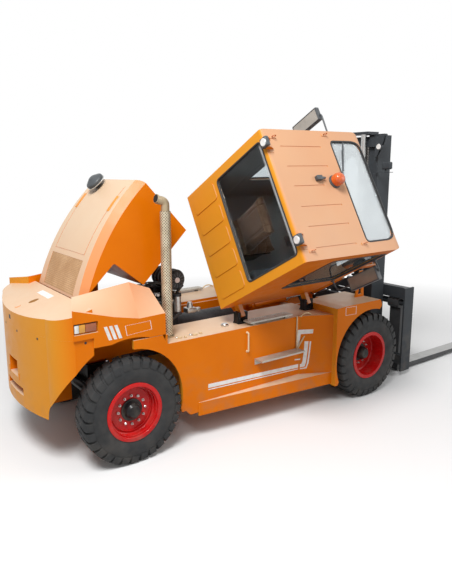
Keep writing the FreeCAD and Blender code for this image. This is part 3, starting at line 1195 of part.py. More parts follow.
doc.recompute()
for obj in doc.Objects:
    if "Invalid" in obj.State or "Error" in obj.State:
        raise RuntimeError(f"{obj.Name} did not build: {obj.State}")
os.makedirs("parts", exist_ok=True)
for obj in nodes:
    if obj.Shape.isNull() or not obj.Shape.isValid():
        raise RuntimeError(f"{obj.Label} has no valid shape")
    obj.Shape.exportStep(f"parts/{obj.Label}.step")
    bound = obj.Shape.BoundBox
    print(f"{obj.Label:20s} {len(obj.Shape.Solids)} solids  {obj.Shape.Volume / 1e9:8.4f} m3"
          f"  x {bound.XMin:6.0f} {bound.XMax:6.0f}  y {bound.YMin:6.0f} {bound.YMax:6.0f}"
          f"  z {bound.ZMin:6.0f} {bound.ZMax:6.0f}")
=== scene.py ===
import json
import math

import bmesh
import bpy
from mathutils import Matrix, Vector


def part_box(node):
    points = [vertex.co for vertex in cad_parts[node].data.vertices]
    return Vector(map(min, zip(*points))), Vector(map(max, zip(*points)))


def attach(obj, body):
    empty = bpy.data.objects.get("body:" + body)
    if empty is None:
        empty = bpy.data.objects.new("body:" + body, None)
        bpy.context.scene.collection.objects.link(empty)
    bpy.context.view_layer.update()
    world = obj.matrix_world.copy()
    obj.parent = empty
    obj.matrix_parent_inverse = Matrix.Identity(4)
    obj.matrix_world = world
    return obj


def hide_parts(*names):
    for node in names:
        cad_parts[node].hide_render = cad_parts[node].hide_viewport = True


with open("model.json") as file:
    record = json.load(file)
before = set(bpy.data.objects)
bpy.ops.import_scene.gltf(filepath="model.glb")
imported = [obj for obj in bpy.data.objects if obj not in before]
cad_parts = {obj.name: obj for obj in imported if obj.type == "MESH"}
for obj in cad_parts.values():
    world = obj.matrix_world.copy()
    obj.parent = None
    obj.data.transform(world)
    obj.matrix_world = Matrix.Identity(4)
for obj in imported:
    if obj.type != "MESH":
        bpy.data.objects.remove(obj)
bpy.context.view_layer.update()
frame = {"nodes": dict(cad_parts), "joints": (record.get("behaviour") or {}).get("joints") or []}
nodes = frame["nodes"]

# ------------------------------------------------------- places on the truck
# The truck is measured from its rear axle, its centre plane and the ground.
# The cab and the hood stand open, so what is on them is placed as if they
# were closed and then swung about their hinges.
tyre_low, tyre_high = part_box("rear_tyre_right")
mast_low, mast_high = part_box("mast_outer")
rear_axle = Vector(((tyre_low.x + tyre_high.x) / 2, (mast_low.y + mast_high.y) / 2, 0))
joints = {joint["name"]: joint for joint in frame["joints"]}


def swung(joint_name, angle):
    """The turn that opens a closed cab or hood about its hinge."""
    joint = joints[joint_name]
    hinge = Matrix.Translation(joint["pos_m"])
    return hinge @ Matrix.Rotation(math.radians(angle), 4, joint["axis"]) @ hinge.inverted()


on_truck = Matrix.Translation(rear_axle)
on_cab = swung("cab_tilt", -joints["cab_tilt"]["range_deg"][0]) @ on_truck
on_hood = swung("hood_lift", -joints["hood_lift"]["range_deg"][0]) @ on_truck
SIDES = {"left": 1, "right": -1}

# ------------------------------------------------------------ orange panels
# Counterweight, cowl, tanks, fenders, hood and cab are cast iron and folded
# plate in one gloss enamel: faint orange peel, a little dust low down, and
# faces turned up and to the rear painted paler as painted light.


def new_material(name):
    """A material with its node tree and its shader."""
    material = bpy.data.materials.new(name)
    material.use_nodes = True
    tree = material.node_tree
    return material, tree, tree.nodes["Principled BSDF"]


def add(tree, kind, **inputs):
    """A shader node; inputs are named as on the node, with _ for a space."""
    shader_node = tree.nodes.new(kind)
    for key, value in inputs.items():
        shader_node.inputs[key.replace("_", " ")].default_value = value
    return shader_node


def noise(tree, scale, detail=3.0, stretch=(1, 1, 1)):
    """Noise over the object's own coordinates."""
    place = add(tree, "ShaderNodeTexCoord")
    turn = add(tree, "ShaderNodeMapping", Scale=stretch)
    grain = add(tree, "ShaderNodeTexNoise", Scale=scale, Detail=detail)
    tree.links.new(place.outputs["Object"], turn.inputs["Vector"])
    tree.links.new(turn.outputs["Vector"], grain.inputs["Vector"])
    return grain.outputs["Fac"]


def spread(tree, value, from_low, from_high, to_low, to_high):
    """A value carried from one range to another, clamped."""
    carry = add(tree, "ShaderNodeMapRange", From_Min=from_low, From_Max=from_high,
                To_Min=to_low, To_Max=to_high)
    tree.links.new(value, carry.inputs["Value"])
    return carry.outputs["Result"]


def mixed(tree, factor, first, second):
    """Two colours mixed by a factor; either may be a colour or a socket."""
    mix = tree.nodes.new("ShaderNodeMix")
    mix.data_type = "RGBA"
    tree.links.new(factor, mix.inputs["Factor"])
    for socket, colour in ((mix.inputs[6], first), (mix.inputs[7], second)):
        if isinstance(colour, bpy.types.NodeSocket):
            tree.links.new(colour, socket)
        else:
            socket.default_value = (*colour, 1)
    return mix.outputs[2]


def patches(tree, first, second, scale, detail=3.0, low=0.35, high=0.65):
    """Two tones in soft patches of noise."""
    return mixed(tree, spread(tree, noise(tree, scale, detail), low, high, 0, 1), first, second)


def wander(tree, shader, low, high, scale, detail=3.0):
    """Roughness that wanders between two values."""
    tree.links.new(spread(tree, noise(tree, scale, detail), 0.3, 0.7, low, high),
                   shader.inputs["Roughness"])


def product(tree, first, second):
    """Two values multiplied."""
    times = tree.nodes.new("ShaderNodeMath")
    times.operation = "MULTIPLY"
    tree.links.new(first, times.inputs[0])
    tree.links.new(second, times.inputs[1])
    return times.outputs[0]


def height_above_ground(tree, low, high):
    """1 at the low level, 0 at the high one."""
    place = add(tree, "ShaderNodeTexCoord")
    split = add(tree, "ShaderNodeSeparateXYZ")
    tree.links.new(place.outputs["Object"], split.inputs[0])
    return spread(tree, split.outputs["Z"], low, high, 1, 0)


def bumped(tree, shader, value, strength, distance):
    """Turns a value into relief on the surface."""
    bump = add(tree, "ShaderNodeBump", Strength=strength, Distance=distance)
    tree.links.new(value, bump.inputs["Height"])
    tree.links.new(bump.outputs["Normal"], shader.inputs["Normal"])


def plain(name, first, second, tone, rough, grain=None, **inputs):
    """Two tones in patches, a roughness and a fine grain; inputs are named as in add().

    tone is (scale, detail, low, high) of the patches, rough one value or (low, high,
    scale, detail), and grain (scale, detail, strength, distance).
    """
    material, tree, shader = new_material(name)
    tree.links.new(patches(tree, first, second, *tone), shader.inputs["Base Color"])
    if isinstance(rough, tuple):
        wander(tree, shader, *rough)
    else:
        shader.inputs["Roughness"].default_value = rough
    if grain:
        bumped(tree, shader, noise(tree, *grain[:2]), *grain[2:])
    for key, value in inputs.items():
        shader.inputs[key.replace("_", " ")].default_value = value
    return material


def enamel(name, colour, shade, rough=0.34, coat=0.05, dust=0.35, painted_light=()):
    """Sprayed enamel: two close tones, orange peel, dust low down, and faces painted paler as painted
    light.

    Each entry of the painted light is (the way the face looks, how far it is painted paler, the paler
    tone).
    """
    material, tree, shader = new_material(name)
    tones = patches(tree, colour, shade, 1.7)
    # faces turned one way are mixed towards a paler tone: painted light
    for towards, amount, painted_lit_tone in painted_light:
        place = add(tree, "ShaderNodeTexCoord")
        facing = tree.nodes.new("ShaderNodeVectorMath")
        facing.operation = "DOT_PRODUCT"
        tree.links.new(place.outputs["Normal"], facing.inputs[0])
        facing.inputs[1].default_value = towards
        blend_to_paler = product(tree, spread(tree, facing.outputs["Value"], 0.45, 0.98, 0, amount),
                       spread(tree, noise(tree, 1.1, 4.0), 0.25, 0.75, 0.88, 1.0))
        tones = mixed(tree, blend_to_paler, tones, painted_lit_tone)
    dirt = product(tree, height_above_ground(tree, 0.25, 1.1),
                   spread(tree, noise(tree, 6.0, 6.0), 0.45, 0.75, 0, dust))
    tree.links.new(mixed(tree, dirt, tones, (0.22, 0.18, 0.14)), shader.inputs["Base Color"])
    wander(tree, shader, rough - 0.06, rough + 0.10, 9.0, 5.0)
    shader.inputs["Specular IOR Level"].default_value = 0.10
    shader.inputs["Coat Weight"].default_value = coat
    shader.inputs["Coat Roughness"].default_value = 0.12
    bumped(tree, shader, noise(tree, 160.0, 2.0), 0.05, 0.002)
    return material


def finish(names, material):
    """Gives nodes of the frame their finish."""
    for name in names:
        nodes[name].data.materials.clear()
        nodes[name].data.materials.append(material)


ORANGE = (0.76, 0.185, 0.002), (0.72, 0.165, 0.001)
# the rear and top tones are painted light: faces turned to the rear and up are painted paler
REAR_PAINTED_LIGHT = ((-1, 0, 0), 0.55, (0.76, 0.42, 0.04))
TOP_PAINTED_LIGHT = (0.68, 0.66, 0.50)
orange = enamel("orange_enamel", *ORANGE, painted_light=(((0, 0, 1), 0.72, TOP_PAINTED_LIGHT), REAR_PAINTED_LIGHT))
# the hood's upturned faces are painted paler: painted light
hood_orange = enamel("hood_enamel", *ORANGE,
                     painted_light=((on_hood.to_3x3() @ Vector((0, 0, 1)), 0.72, TOP_PAINTED_LIGHT),))
finish(["counterweight", "rear_cowl", "side_tank_left", "side_tank_right", "front_fender_left",
        "front_fender_right", "chassis_frame"], orange)
finish(["hood"], hood_orange)

# ------------------------------------------------------------- painted steel
# Everything else that is painted takes its own enamel: the mast and carriage a
# dark slate, the axles, brackets and lift cylinders a black.
slate = enamel("slate_enamel", (0.050, 0.056, 0.062), (0.038, 0.043, 0.049), rough=0.42, coat=0.1)
black = enamel("black_enamel", (0.020, 0.020, 0.021), (0.012, 0.012, 0.013), rough=0.40, coat=0.15,
               dust=0.5)
finish(["mast_outer", "mast_inner", "carriage"], slate)
finish(["steer_axle", "drive_axle", "knuckle_left", "knuckle_right", "lift_cylinders",
        "radiator", "seat_frame", "cab_hinge_brackets"], black)

# ------------------------------------------------------------------- tyres
# Bias-ply industrial tyres of black rubber: a moulded carcass with a bead on
# the rim, and two rows of slanted lugs that wrap over the shoulders.
TYRE_RADIUS, TYRE_HALF, BEAD_RADIUS = 0.612, 0.155, 0.307
LUG_COUNT, LUG_DEPTH, LUG_LENGTH, LUG_SLANT = 30, 0.026, 0.088, 0.42


def turn_copies(shape, geometry, count):
    """Repeats part of a mesh evenly round the Y axis."""
    for number in range(1, count):
        copied = bmesh.ops.duplicate(shape, geom=geometry)["geom"]
        bmesh.ops.rotate(shape, verts=[v for v in copied if isinstance(v, bmesh.types.BMVert)],
                         matrix=Matrix.Rotation(math.tau * number / count, 3, "Y"))


def spun(shape, outline, axis, middle=(0, 0, 0), steps=48, closed=True):
    """An outline turned right round an axis."""
    ring = [shape.verts.new(point) for point in outline]
    ends = ring[1:] + ring[:1] if closed else ring[1:]
    edges = [shape.edges.new(pair) for pair in zip(ring, ends)]
    bmesh.ops.spin(shape, geom=ring + edges, axis=axis, cent=middle, steps=steps,
                   angle=math.tau, use_merge=True)


def sheet(shape, points, along):
    """A flat plate from its outline, as thick as a vector; gives its face and its far corners."""
    face = shape.faces.new([shape.verts.new(point) for point in points])
    grown = bmesh.ops.extrude_face_region(shape, geom=[face])["geom"]
    far = [g for g in grown if isinstance(g, bmesh.types.BMVert)]
    bmesh.ops.translate(shape, verts=far, vec=along)
    return face, far


def tyre_shape():
    """One tyre about the Y axis, centred on the origin."""
    shape = bmesh.new()
    half, crown = TYRE_HALF, TYRE_RADIUS - LUG_DEPTH
    flank = [(0.105, crown - 0.006), (0.138, 0.548), (0.152, 0.500), (half, 0.440), (0.146, 0.385),
             (0.130, 0.350), (0.122, BEAD_RADIUS)]
    profile = [(-y, z) for y, z in flank[::-1]] + [(0.0, crown)] + flank
    spun(shape, [(0, y, z) for y, z in profile], (0, 1, 0), steps=72)
    for side, shift in ((1, 0.0), (-1, 0.5)):
        lug, far = sheet(shape, [(-LUG_LENGTH / 2, side * y, z) for y, z in (
            (-0.018, crown - 0.012), (-0.018, TYRE_RADIUS - 0.004), (0.110, TYRE_RADIUS - 0.005),
            (0.141, TYRE_RADIUS - 0.020), (0.1548, 0.548), (0.1545, 0.512), (0.140, 0.512),
            (0.128, 0.55))], (LUG_LENGTH, 0, 0))
        whole = list({v for f in [lug] + [g for v in far for g in v.link_faces] for v in f.verts})
        for vert in whole:
            vert.co.x *= 1 - 0.8 * (TYRE_RADIUS - vert.co.z)
            vert.co.x += side * LUG_SLANT * (abs(vert.co.y) - 0.07)
        bmesh.ops.rotate(shape, verts=whole,
                         matrix=Matrix.Rotation(math.tau * shift / LUG_COUNT, 3, "Y"))
        faces = list({f for v in whole for f in v.link_faces})
        turn_copies(shape, whole + faces, LUG_COUNT)
    bmesh.ops.recalc_face_normals(shape, faces=shape.faces)
    return shape


def put(name, shape, material, body, place=on_truck, smooth=None):
    """Turns a bmesh into a piece that rides on a body, with its place in its mesh."""
    bmesh.ops.transform(shape, matrix=place, verts=shape.verts)
    mesh = bpy.data.meshes.new(name)
    shape.to_mesh(mesh)
    shape.free()
    mesh.materials.append(material)
    if smooth:
        mesh.shade_smooth()
        mesh.set_sharp_from_angle(angle=math.radians(smooth))
    piece = bpy.data.objects.new(name, mesh)
    bpy.context.collection.objects.link(piece)
    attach(piece, body)
    return piece


def take_in(whole, part):
    """Adds one bmesh to another."""
    mesh = bpy.data.meshes.new("part")
    part.to_mesh(mesh)
    part.free()
    whole.from_mesh(mesh)
    bpy.data.meshes.remove(mesh)


def joined(places, make):
    """One bmesh of several copies of a shape, each in its own place."""
    whole = bmesh.new()
    for place in places:
        part = make()
        bmesh.ops.transform(part, matrix=place, verts=part.verts)
        if place.determinant() < 0:
            bmesh.ops.reverse_faces(part, faces=part.faces)
        take_in(whole, part)
    return whole


def at(x, y, z, turn=0, axis="Z"):
    """A place, turned by some degrees about an axis."""
    return Matrix.Translation((x, y, z)) @ Matrix.Rotation(math.radians(turn), 4, axis)


rubber, tree, shader = new_material("tyre_rubber")
grime = product(tree, spread(tree, noise(tree, 5.0, 6.0), 0.40, 0.70, 0, 1),
                height_above_ground(tree, 0.2, 1.6))
tread_tone = patches(tree, (0.024, 0.025, 0.026), (0.036, 0.037, 0.038), 2.2)
tree.links.new(mixed(tree, grime, tread_tone, (0.062, 0.058, 0.054)), shader.inputs["Base Color"])
wander(tree, shader, 0.62, 0.84, 12.0, 5.0)
shader.inputs["Specular IOR Level"].default_value = 0.3
bumped(tree, shader, noise(tree, 90.0, 4.0), 0.12, 0.004)

REAR_Y, FRONT_X, OUTER_Y, INNER_Y = 1.030, 3.660, 1.268, 0.912
for side_name, side in SIDES.items():
    rear = put("rear_tread_" + side_name, joined([at(0, side * REAR_Y, TYRE_RADIUS)], tyre_shape), rubber,
               "rear_wheel_" + side_name, smooth=32)
    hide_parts("rear_tyre_" + side_name)
    duals = [at(FRONT_X, side * y, TYRE_RADIUS, 5.0, "Y") for y in (OUTER_Y, INNER_Y)]
    front = put("front_treads_" + side_name, joined(duals, tyre_shape), rubber,
                "front_wheels_" + side_name, smooth=32)
    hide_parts("front_tyres_" + side_name)

# ------------------------------------------------------------- rims and hubs
# Pressed and welded steel rims in red enamel on black cast hubs, each held by
# twelve plated nuts; a rolled bead runs round the well of each rear rim.
red = enamel("red_enamel", (0.62, 0.010, 0.010), (0.50, 0.008, 0.008), rough=0.26, coat=0.3, dust=0.3)
hub_black = enamel("hub_black", (0.012, 0.012, 0.013), (0.020, 0.019, 0.018), rough=0.35, coat=0.2,
                   dust=0.6)
for side_name in SIDES:
    finish(["rear_rim_" + side_name, "front_rims_" + side_name], red)
    finish(["rear_hub_" + side_name, "front_hub_" + side_name], hub_black)


def metal(name, colour, shade, rough, grain=40.0, metallic=1.0):
    """Bare or plated metal: two tones, uneven polish and a fine grain."""
    return plain(name, colour, shade, (grain / 4, 5.0, 0.3, 0.7),
                 (rough - 0.08, rough + 0.12, grain, 4.0), (grain * 2, 3.0, 0.08, 0.002),
                 Metallic=metallic)


plated = metal("plated_steel", (0.62, 0.62, 0.60), (0.48, 0.48, 0.47), rough=0.28)
NUT_RING, NUT_COUNT, REAR_DISC, FRONT_DISC = 0.168, 12, 0.0295, -0.0661


def rod(shape, start, end, radius, segments=20, tip=None):
    """A round bar between two points, tapering to tip where that is given."""
    start, end = Vector(start), Vector(end)
    turn = (end - start).to_track_quat("Z", "Y").to_matrix().to_4x4()
    place = Matrix.Translation((start + end) / 2) @ turn
    return bmesh.ops.create_cone(shape, cap_ends=True, segments=segments, radius1=radius,
                                 radius2=radius if tip is None else tip,
                                 depth=(end - start).length, matrix=place)["verts"]


def nut_ring():
    """Twelve hexagon nuts with stud ends, facing +Y, round the origin."""
    shape = bmesh.new()
    parts = rod(shape, (NUT_RING, 0, 0), (NUT_RING, 0.018, 0), 0.0165, 6)
    parts += rod(shape, (NUT_RING, 0.018, 0), (NUT_RING, 0.024, 0), 0.0135, 6, 0.0085)
    parts += rod(shape, (NUT_RING, 0.024, 0), (NUT_RING, 0.036, 0), 0.0075, 10, 0.0060)
    turn_copies(shape, parts + list({f for v in parts for f in v.link_faces}), NUT_COUNT)
    return shape


def circle(radius):
    """Eight points round a circle, as (u, v)."""
    angles = [math.tau * number / 8 for number in range(8)]
    return [(radius * math.cos(angle), radius * math.sin(angle)) for angle in angles]


def rim_ring():
    """A rolled bead and a weld line in a rim's well, about the Y axis."""
    shape = bmesh.new()
    for radius, thick, y in ((0.286, 0.008, 0.105), (0.250, 0.006, 0.036)):
        spun(shape, [(0, y + u, radius + v) for u, v in circle(thick)], (0, 1, 0), steps=64)
    bmesh.ops.recalc_face_normals(shape, faces=shape.faces)
    return shape


for side_name, side in SIDES.items():
    flip = Matrix.Scale(side, 4, (0, 1, 0))
    rear_hub = at(0, side * (REAR_Y + REAR_DISC), TYRE_RADIUS)
    front_hub = at(FRONT_X, side * (OUTER_Y + FRONT_DISC), TYRE_RADIUS)
    put("rear_nuts_" + side_name, joined([rear_hub @ flip], nut_ring), plated,
        "rear_wheel_" + side_name, smooth=30)
    put("front_nuts_" + side_name, joined([front_hub @ flip], nut_ring), plated,
        "front_wheels_" + side_name, smooth=30)
    put("rear_rim_beads_" + side_name, joined([at(0, side * REAR_Y, TYRE_RADIUS) @ flip], rim_ring), red,
        "rear_wheel_" + side_name, smooth=40)

# ----------------------------------------------------------------- hood trim
# The hood is folded plate over a frame: a wire mesh grille over the radiator
# outlet, amber latches on the side strips and a moulded pre-cleaner bowl.
HOOD_ARC_X, HOOD_ARC_Z, HOOD_ARC_RADIUS = 1.068, -0.514, 2.769
GRILLE_X, GRILLE_HALF = (-0.343, 0.023), 0.480
LATCH_X, LATCH_Y, LATCH_HALF = (0.64, 0.86), 0.475, 0.028


def hood_top(x, above=0.0):
    """Height of the hood's bowed top along the truck."""
    return HOOD_ARC_Z + math.sqrt((HOOD_ARC_RADIUS + above) ** 2 - (x - HOOD_ARC_X) ** 2)


def bowed_plate(x_range, y_range, low, high, steps=10):
    """A plate laid on the hood's bowed top, between two heights above it."""
    shape = bmesh.new()
    bmesh.ops.create_cube(shape, size=1)
    bmesh.ops.transform(shape, verts=shape.verts, matrix=Matrix.Translation((0.5, 0.5, 0.5)))
    along = [e for e in shape.edges if abs(e.verts[0].co.x - e.verts[1].co.x) > 0.5]
    bmesh.ops.subdivide_edges(shape, edges=along, cuts=steps, use_grid_fill=True)
    for vert in shape.verts:
        x = x_range[0] + vert.co.x * (x_range[1] - x_range[0])
        y = y_range[0] + vert.co.y * (y_range[1] - y_range[0])
        vert.co = (x, y, hood_top(x, low + vert.co.z * (high - low)))
    return shape


mesh_grille, tree, shader = new_material("wire_mesh")
place = add(tree, "ShaderNodeTexCoord")
waves = []
for turn in (0.62, -0.62):
    slant = add(tree, "ShaderNodeMapping", Rotation=(0, 0, turn))
    tree.links.new(place.outputs["Object"], slant.inputs["Vector"])
    wave = add(tree, "ShaderNodeTexWave", Scale=26.0)
    tree.links.new(slant.outputs["Vector"], wave.inputs["Vector"])
    waves.append(spread(tree, wave.outputs["Fac"], 0.55, 0.75, 0, 1))
wires = tree.nodes.new("ShaderNodeMath")
wires.operation = "MAXIMUM"
tree.links.new(waves[0], wires.inputs[0])
tree.links.new(waves[1], wires.inputs[1])
dusty = patches(tree, (0.50, 0.27, 0.11), (0.68, 0.42, 0.22), 3.5, 5.0)
tree.links.new(mixed(tree, wires.outputs[0], (0.30, 0.15, 0.06), dusty), shader.inputs["Base Color"])
shader.inputs["Roughness"].default_value = 0.55
bumped(tree, shader, wires.outputs[0], 0.5, 0.003)

rubber_trim = plain("rubber_trim", (0.014, 0.014, 0.015), (0.026, 0.026, 0.026),
                    (30.0, 3.0, 0.3, 0.7), (0.5, 0.7, 60.0), (240.0, 3.0, 0.1, 0.001))

put("hood_grille", bowed_plate(GRILLE_X, (-GRILLE_HALF, GRILLE_HALF), -0.0045, -0.001), mesh_grille, "hood",
    on_hood, 30)
amber = enamel("amber_latch", (0.80, 0.30, 0.01), (0.70, 0.23, 0.01), rough=0.35, coat=0.3, dust=0)
latches = bmesh.new()
for y in (LATCH_Y, -LATCH_Y):
    plate = bowed_plate(LATCH_X, (y - LATCH_HALF, y + LATCH_HALF), 0.0003, 0.006, 4)
    bmesh.ops.bevel(plate, geom=[e for e in plate.edges if e.calc_face_angle(0) > 1.2],
                    affect="EDGES", offset=0.002, segments=1, profile=0.5, material=-1)
    take_in(latches, plate)
put("hood_latches", latches, amber, "hood", on_hood, 30)

moulded = plain("moulded_plastic", (0.050, 0.056, 0.062), (0.080, 0.088, 0.094), (4.0, 5.0),
                (0.36, 0.52, 20.0, 4.0), (300.0, 2.0, 0.12, 0.001))
finish(["pre_cleaner"], moulded)


def lathe(points, steps=40):
    """A closed round piece about the Z axis from its half outline (radius, height)."""
    shape = bmesh.new()
    spun(shape, [(radius, 0, z) for radius, z in points], (0, 0, 1), steps=steps, closed=False)
    bmesh.ops.remove_doubles(shape, verts=shape.verts, dist=1e-5)
    bmesh.ops.recalc_face_normals(shape, faces=shape.faces)
    return shape


PRECLEANER = (1.000, 0.270)
lean = math.degrees(math.asin((PRECLEANER[0] - HOOD_ARC_X) / HOOD_ARC_RADIUS))
bowl_at = on_hood @ at(*PRECLEANER, hood_top(PRECLEANER[0]), lean, "Y")
bowl_band = lathe([(0.1195, 0.052), (0.1275, 0.054), (0.129, 0.060), (0.1275, 0.066), (0.1195, 0.068),
                   (0.1195, 0.052)])
put("precleaner_band", bowl_band, plated, "hood", bowl_at, 40)

# -------------------------------------------------------------- tail lamps
# Each lamp is three ribbed lenses side by side in a black tray that sits in
# the cowl's recess: clear, amber and red from the rear forward.
LAMP_Y, LAMP_Z, TRAY_X, TRAY = 1.0903, (1.612, 1.708), (-0.6385, -0.3935), 0.008
LENSES = (("clear", (-0.638, -0.588), (0.85, 0.86, 0.84)), ("amber", (-0.586, -0.520), (0.90, 0.40, 0.02)),
          ("red", (-0.518, -0.394), (0.42, 0.10, 0.02)))


def block(shape, low, high, bevel=0.0, segments=2):
    """A box between two corners, its edges eased."""
    low, high = [Vector(map(f, low, high)) for f in (min, max)]
    place = Matrix.Translation((low + high) / 2) @ Matrix.Diagonal((*(high - low), 1))
    made = bmesh.ops.create_cube(shape, size=1, matrix=place)["verts"]
    if bevel:
        edges = list({e for v in made for e in v.link_edges})
        bmesh.ops.bevel(shape, geom=edges, affect="EDGES", offset=bevel, segments=segments, profile=0.5,
                        material=-1)
    return shape


def ribbed(material, scale, depth):
    """Moulds ribs into a lens."""
    tree = material.node_tree
    place = add(tree, "ShaderNodeTexCoord")
    ribs = add(tree, "ShaderNodeTexWave", Scale=scale)
    tree.links.new(place.outputs["Object"], ribs.inputs["Vector"])
    bumped(tree, tree.nodes["Principled BSDF"], ribs.outputs["Fac"], 0.35, depth)
    return material


def lens_plastic(name, colour):
    """Clear or tinted lens plastic with fine ribs."""
    darker = tuple(c * 0.75 for c in colour)
    return ribbed(plain(name, colour, darker, (8.0,), 0.12, Coat_Weight=0.6), 40.0, 0.002)


trays = bmesh.new()
for side in (1, -1):
    block(trays, (TRAY_X[0], side * LAMP_Y, LAMP_Z[0]), (TRAY_X[1], side * (LAMP_Y + TRAY), LAMP_Z[1]),
          0.003)
tray = put("lamp_trays", trays, rubber_trim, "chassis", smooth=40)
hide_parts("tail_lamps")
for lens_name, (x0, x1), colour in LENSES:
    lens = bmesh.new()
    for side in (1, -1):
        block(lens, (x0, side * (LAMP_Y + TRAY), LAMP_Z[0] + 0.004),
              (x1, side * (LAMP_Y + 0.021), LAMP_Z[1] - 0.004), 0.006, 3)
    put("lamp_lens_" + lens_name, lens, lens_plastic("lens_" + lens_name, colour), "chassis",
        smooth=40)

# ------------------------------------------------------ stripes and outlines
# Cut vinyl, a little chalked and scuffed, on the enamel: three slanted white
# bars and an empty outlined box over the rear wheel, and a double stripe along
# the tank that turns up the flare.
FILM, SIDE_Y, FLARE_FROM, FLARE_TO, FLARE_OUT = 0.0009, 1.120, 2.535, 2.960, 1.330


def side_y(x):
    """How far out the side panel's face stands at a place along the truck."""
    along = min(max((x - FLARE_FROM) / (FLARE_TO - FLARE_FROM), 0), 1)
    return SIDE_Y + 0.007 + along * (FLARE_OUT - SIDE_Y - 0.007) if x > FLARE_FROM else SIDE_Y


def sticker(shape, points, normal):
    """A thin sheet of film with the given outline."""
    sheet(shape, points, Vector(normal) * FILM)


def frame_lines(shape, corners, width, normal):
    """A line round a four-cornered box, as four thin strips."""
    corners = [Vector(c) for c in corners]
    middle = sum(corners, Vector()) / 4
    inner = [c + (middle - c).normalized() * width * 1.4 for c in corners]
    for k in range(4):
        sticker(shape, (corners[k], corners[k - 3], inner[k - 3], inner[k]), normal)


white_film = plain("white_film", (0.86, 0.85, 0.83), (0.70, 0.66, 0.60), (14.0, 6.0, 0.45, 0.75),
                   (0.30, 0.46, 25.0), (120.0, 3.0, 0.05, 0.001))
BOX = ((-0.070, 1.612), (0.245, 1.622), (0.262, 1.520), (-0.052, 1.500))
STRIPE_START, STRIPE_TURN, STRIPE_DROP = 1.020, 2.524, 0.058
marks = bmesh.new()
for side in (1, -1):
    normal = (0, side, 0)
    lift = side * (SIDE_Y + 0.0004)
    for number in range(3):
        x = -0.318 + 0.060 * number
        sticker(marks, ((x, lift, 1.640), (x + 0.038, lift, 1.640), (x + 0.092, lift, 1.485),
                        (x + 0.054, lift, 1.485)), normal)
    frame_lines(marks, [(x, lift, z) for x, z in BOX], 0.0045, normal)
    for low, high in ((0.616, 0.628), (0.642, 0.692)):
        sticker(marks, [(x, lift, z) for x, z in (
            (STRIPE_START, low), (STRIPE_TURN, low - STRIPE_DROP), (STRIPE_TURN, high - STRIPE_DROP),
            (STRIPE_START + 0.004, high))], normal)
put("body_marks", marks, white_film, "chassis")

# the part of the double stripe that turns up the flare
turned_up = bmesh.new()
FLARE_NORMAL = Vector((-(FLARE_OUT - SIDE_Y - 0.007), FLARE_TO - FLARE_FROM, 0)).normalized()
FLARE_MARKS = (
    ((2.545, 0.557), (2.630, 0.566), (2.655, 0.640), (2.670, 0.790), (2.682, 0.950),
     (2.664, 0.951), (2.652, 0.792), (2.637, 0.648), (2.620, 0.582), (2.545, 0.571)),
    ((2.545, 0.584), (2.606, 0.596), (2.622, 0.655), (2.636, 0.795), (2.648, 0.952),
     (2.598, 0.955), (2.590, 0.800), (2.577, 0.678), (2.565, 0.636), (2.545, 0.632)),
    ((2.490, 0.905), (2.522, 0.850), (2.530, 0.905), (2.545, 1.058), (2.700, 1.060),
     (2.706, 1.118), (2.505, 1.122)),
    ((2.455, 0.700), (2.545, 0.694), (2.549, 0.712), (2.457, 0.718)))
for side in (1, -1):
    normal = Vector((FLARE_NORMAL.x, side * FLARE_NORMAL.y, 0))
    for line in FLARE_MARKS:
        on_flare = line[0][0] > FLARE_FROM
        sticker(turned_up, [(x, side * (side_y(x) + 0.0012), z) for x, z in line],
                normal if on_flare else (0, side, 0))
put("flare_marks", turned_up, white_film, "chassis")

# -------------------------------------------------------------- cab windows
# Laminated grey-tinted panes, each held in its opening by a moulded rubber
# gasket that lips over the panel and reaches in to the glass. The shell is
# orange outside and lined in dark grey felt inside.
CAB_REAR, CAB_FRONT, CAB_KNEE, CAB_HALF = 1.433, 3.130, 3.190, 0.7865
CAB_FLOOR, CAB_KNEE_Z, CAB_ROOF = 1.380, 2.080, 3.078
ROOF_CURVE_X, ROOF_CURVE = 2.919, 0.170


def windscreen_x(z):
    """How far forward the cab's front stands at a height."""
    if z < CAB_KNEE_Z:
        return CAB_FRONT + (CAB_KNEE - CAB_FRONT) * (z - CAB_FLOOR) / (CAB_KNEE_Z - CAB_FLOOR)
    return CAB_KNEE - 0.120 * (z - CAB_KNEE_Z) / (CAB_ROOF - CAB_KNEE_Z)


def roof_z(x):
    """Height of the roof, which curves down over its front edge."""
    past = max(0.0, x - ROOF_CURVE_X)
    return CAB_ROOF - ROOF_CURVE + math.sqrt(ROOF_CURVE ** 2 - past ** 2)


def sum_of(tree, first, second, operation="ADD"):
    """Two values put through one operation; either may be a number or a socket."""
    node = tree.nodes.new("ShaderNodeMath")
    node.operation = operation
    for socket, value in zip(node.inputs, (first, second)):
        if isinstance(value, bpy.types.NodeSocket):
            tree.links.new(value, socket)
        else:
            socket.default_value = value
    return node.outputs[0]


def closed_place(tree):
    """Where a point of the cab is, along X, Y and Z, once the cab is closed."""
    closed = on_cab.inverted()
    place = add(tree, "ShaderNodeTexCoord")
    turn = add(tree, "ShaderNodeMapping", Location=closed.to_translation(), Rotation=closed.to_euler())
    split = add(tree, "ShaderNodeSeparateXYZ")
    tree.links.new(place.outputs["Object"], turn.inputs["Vector"])
    tree.links.new(turn.outputs["Vector"], split.inputs[0])
    return split.outputs


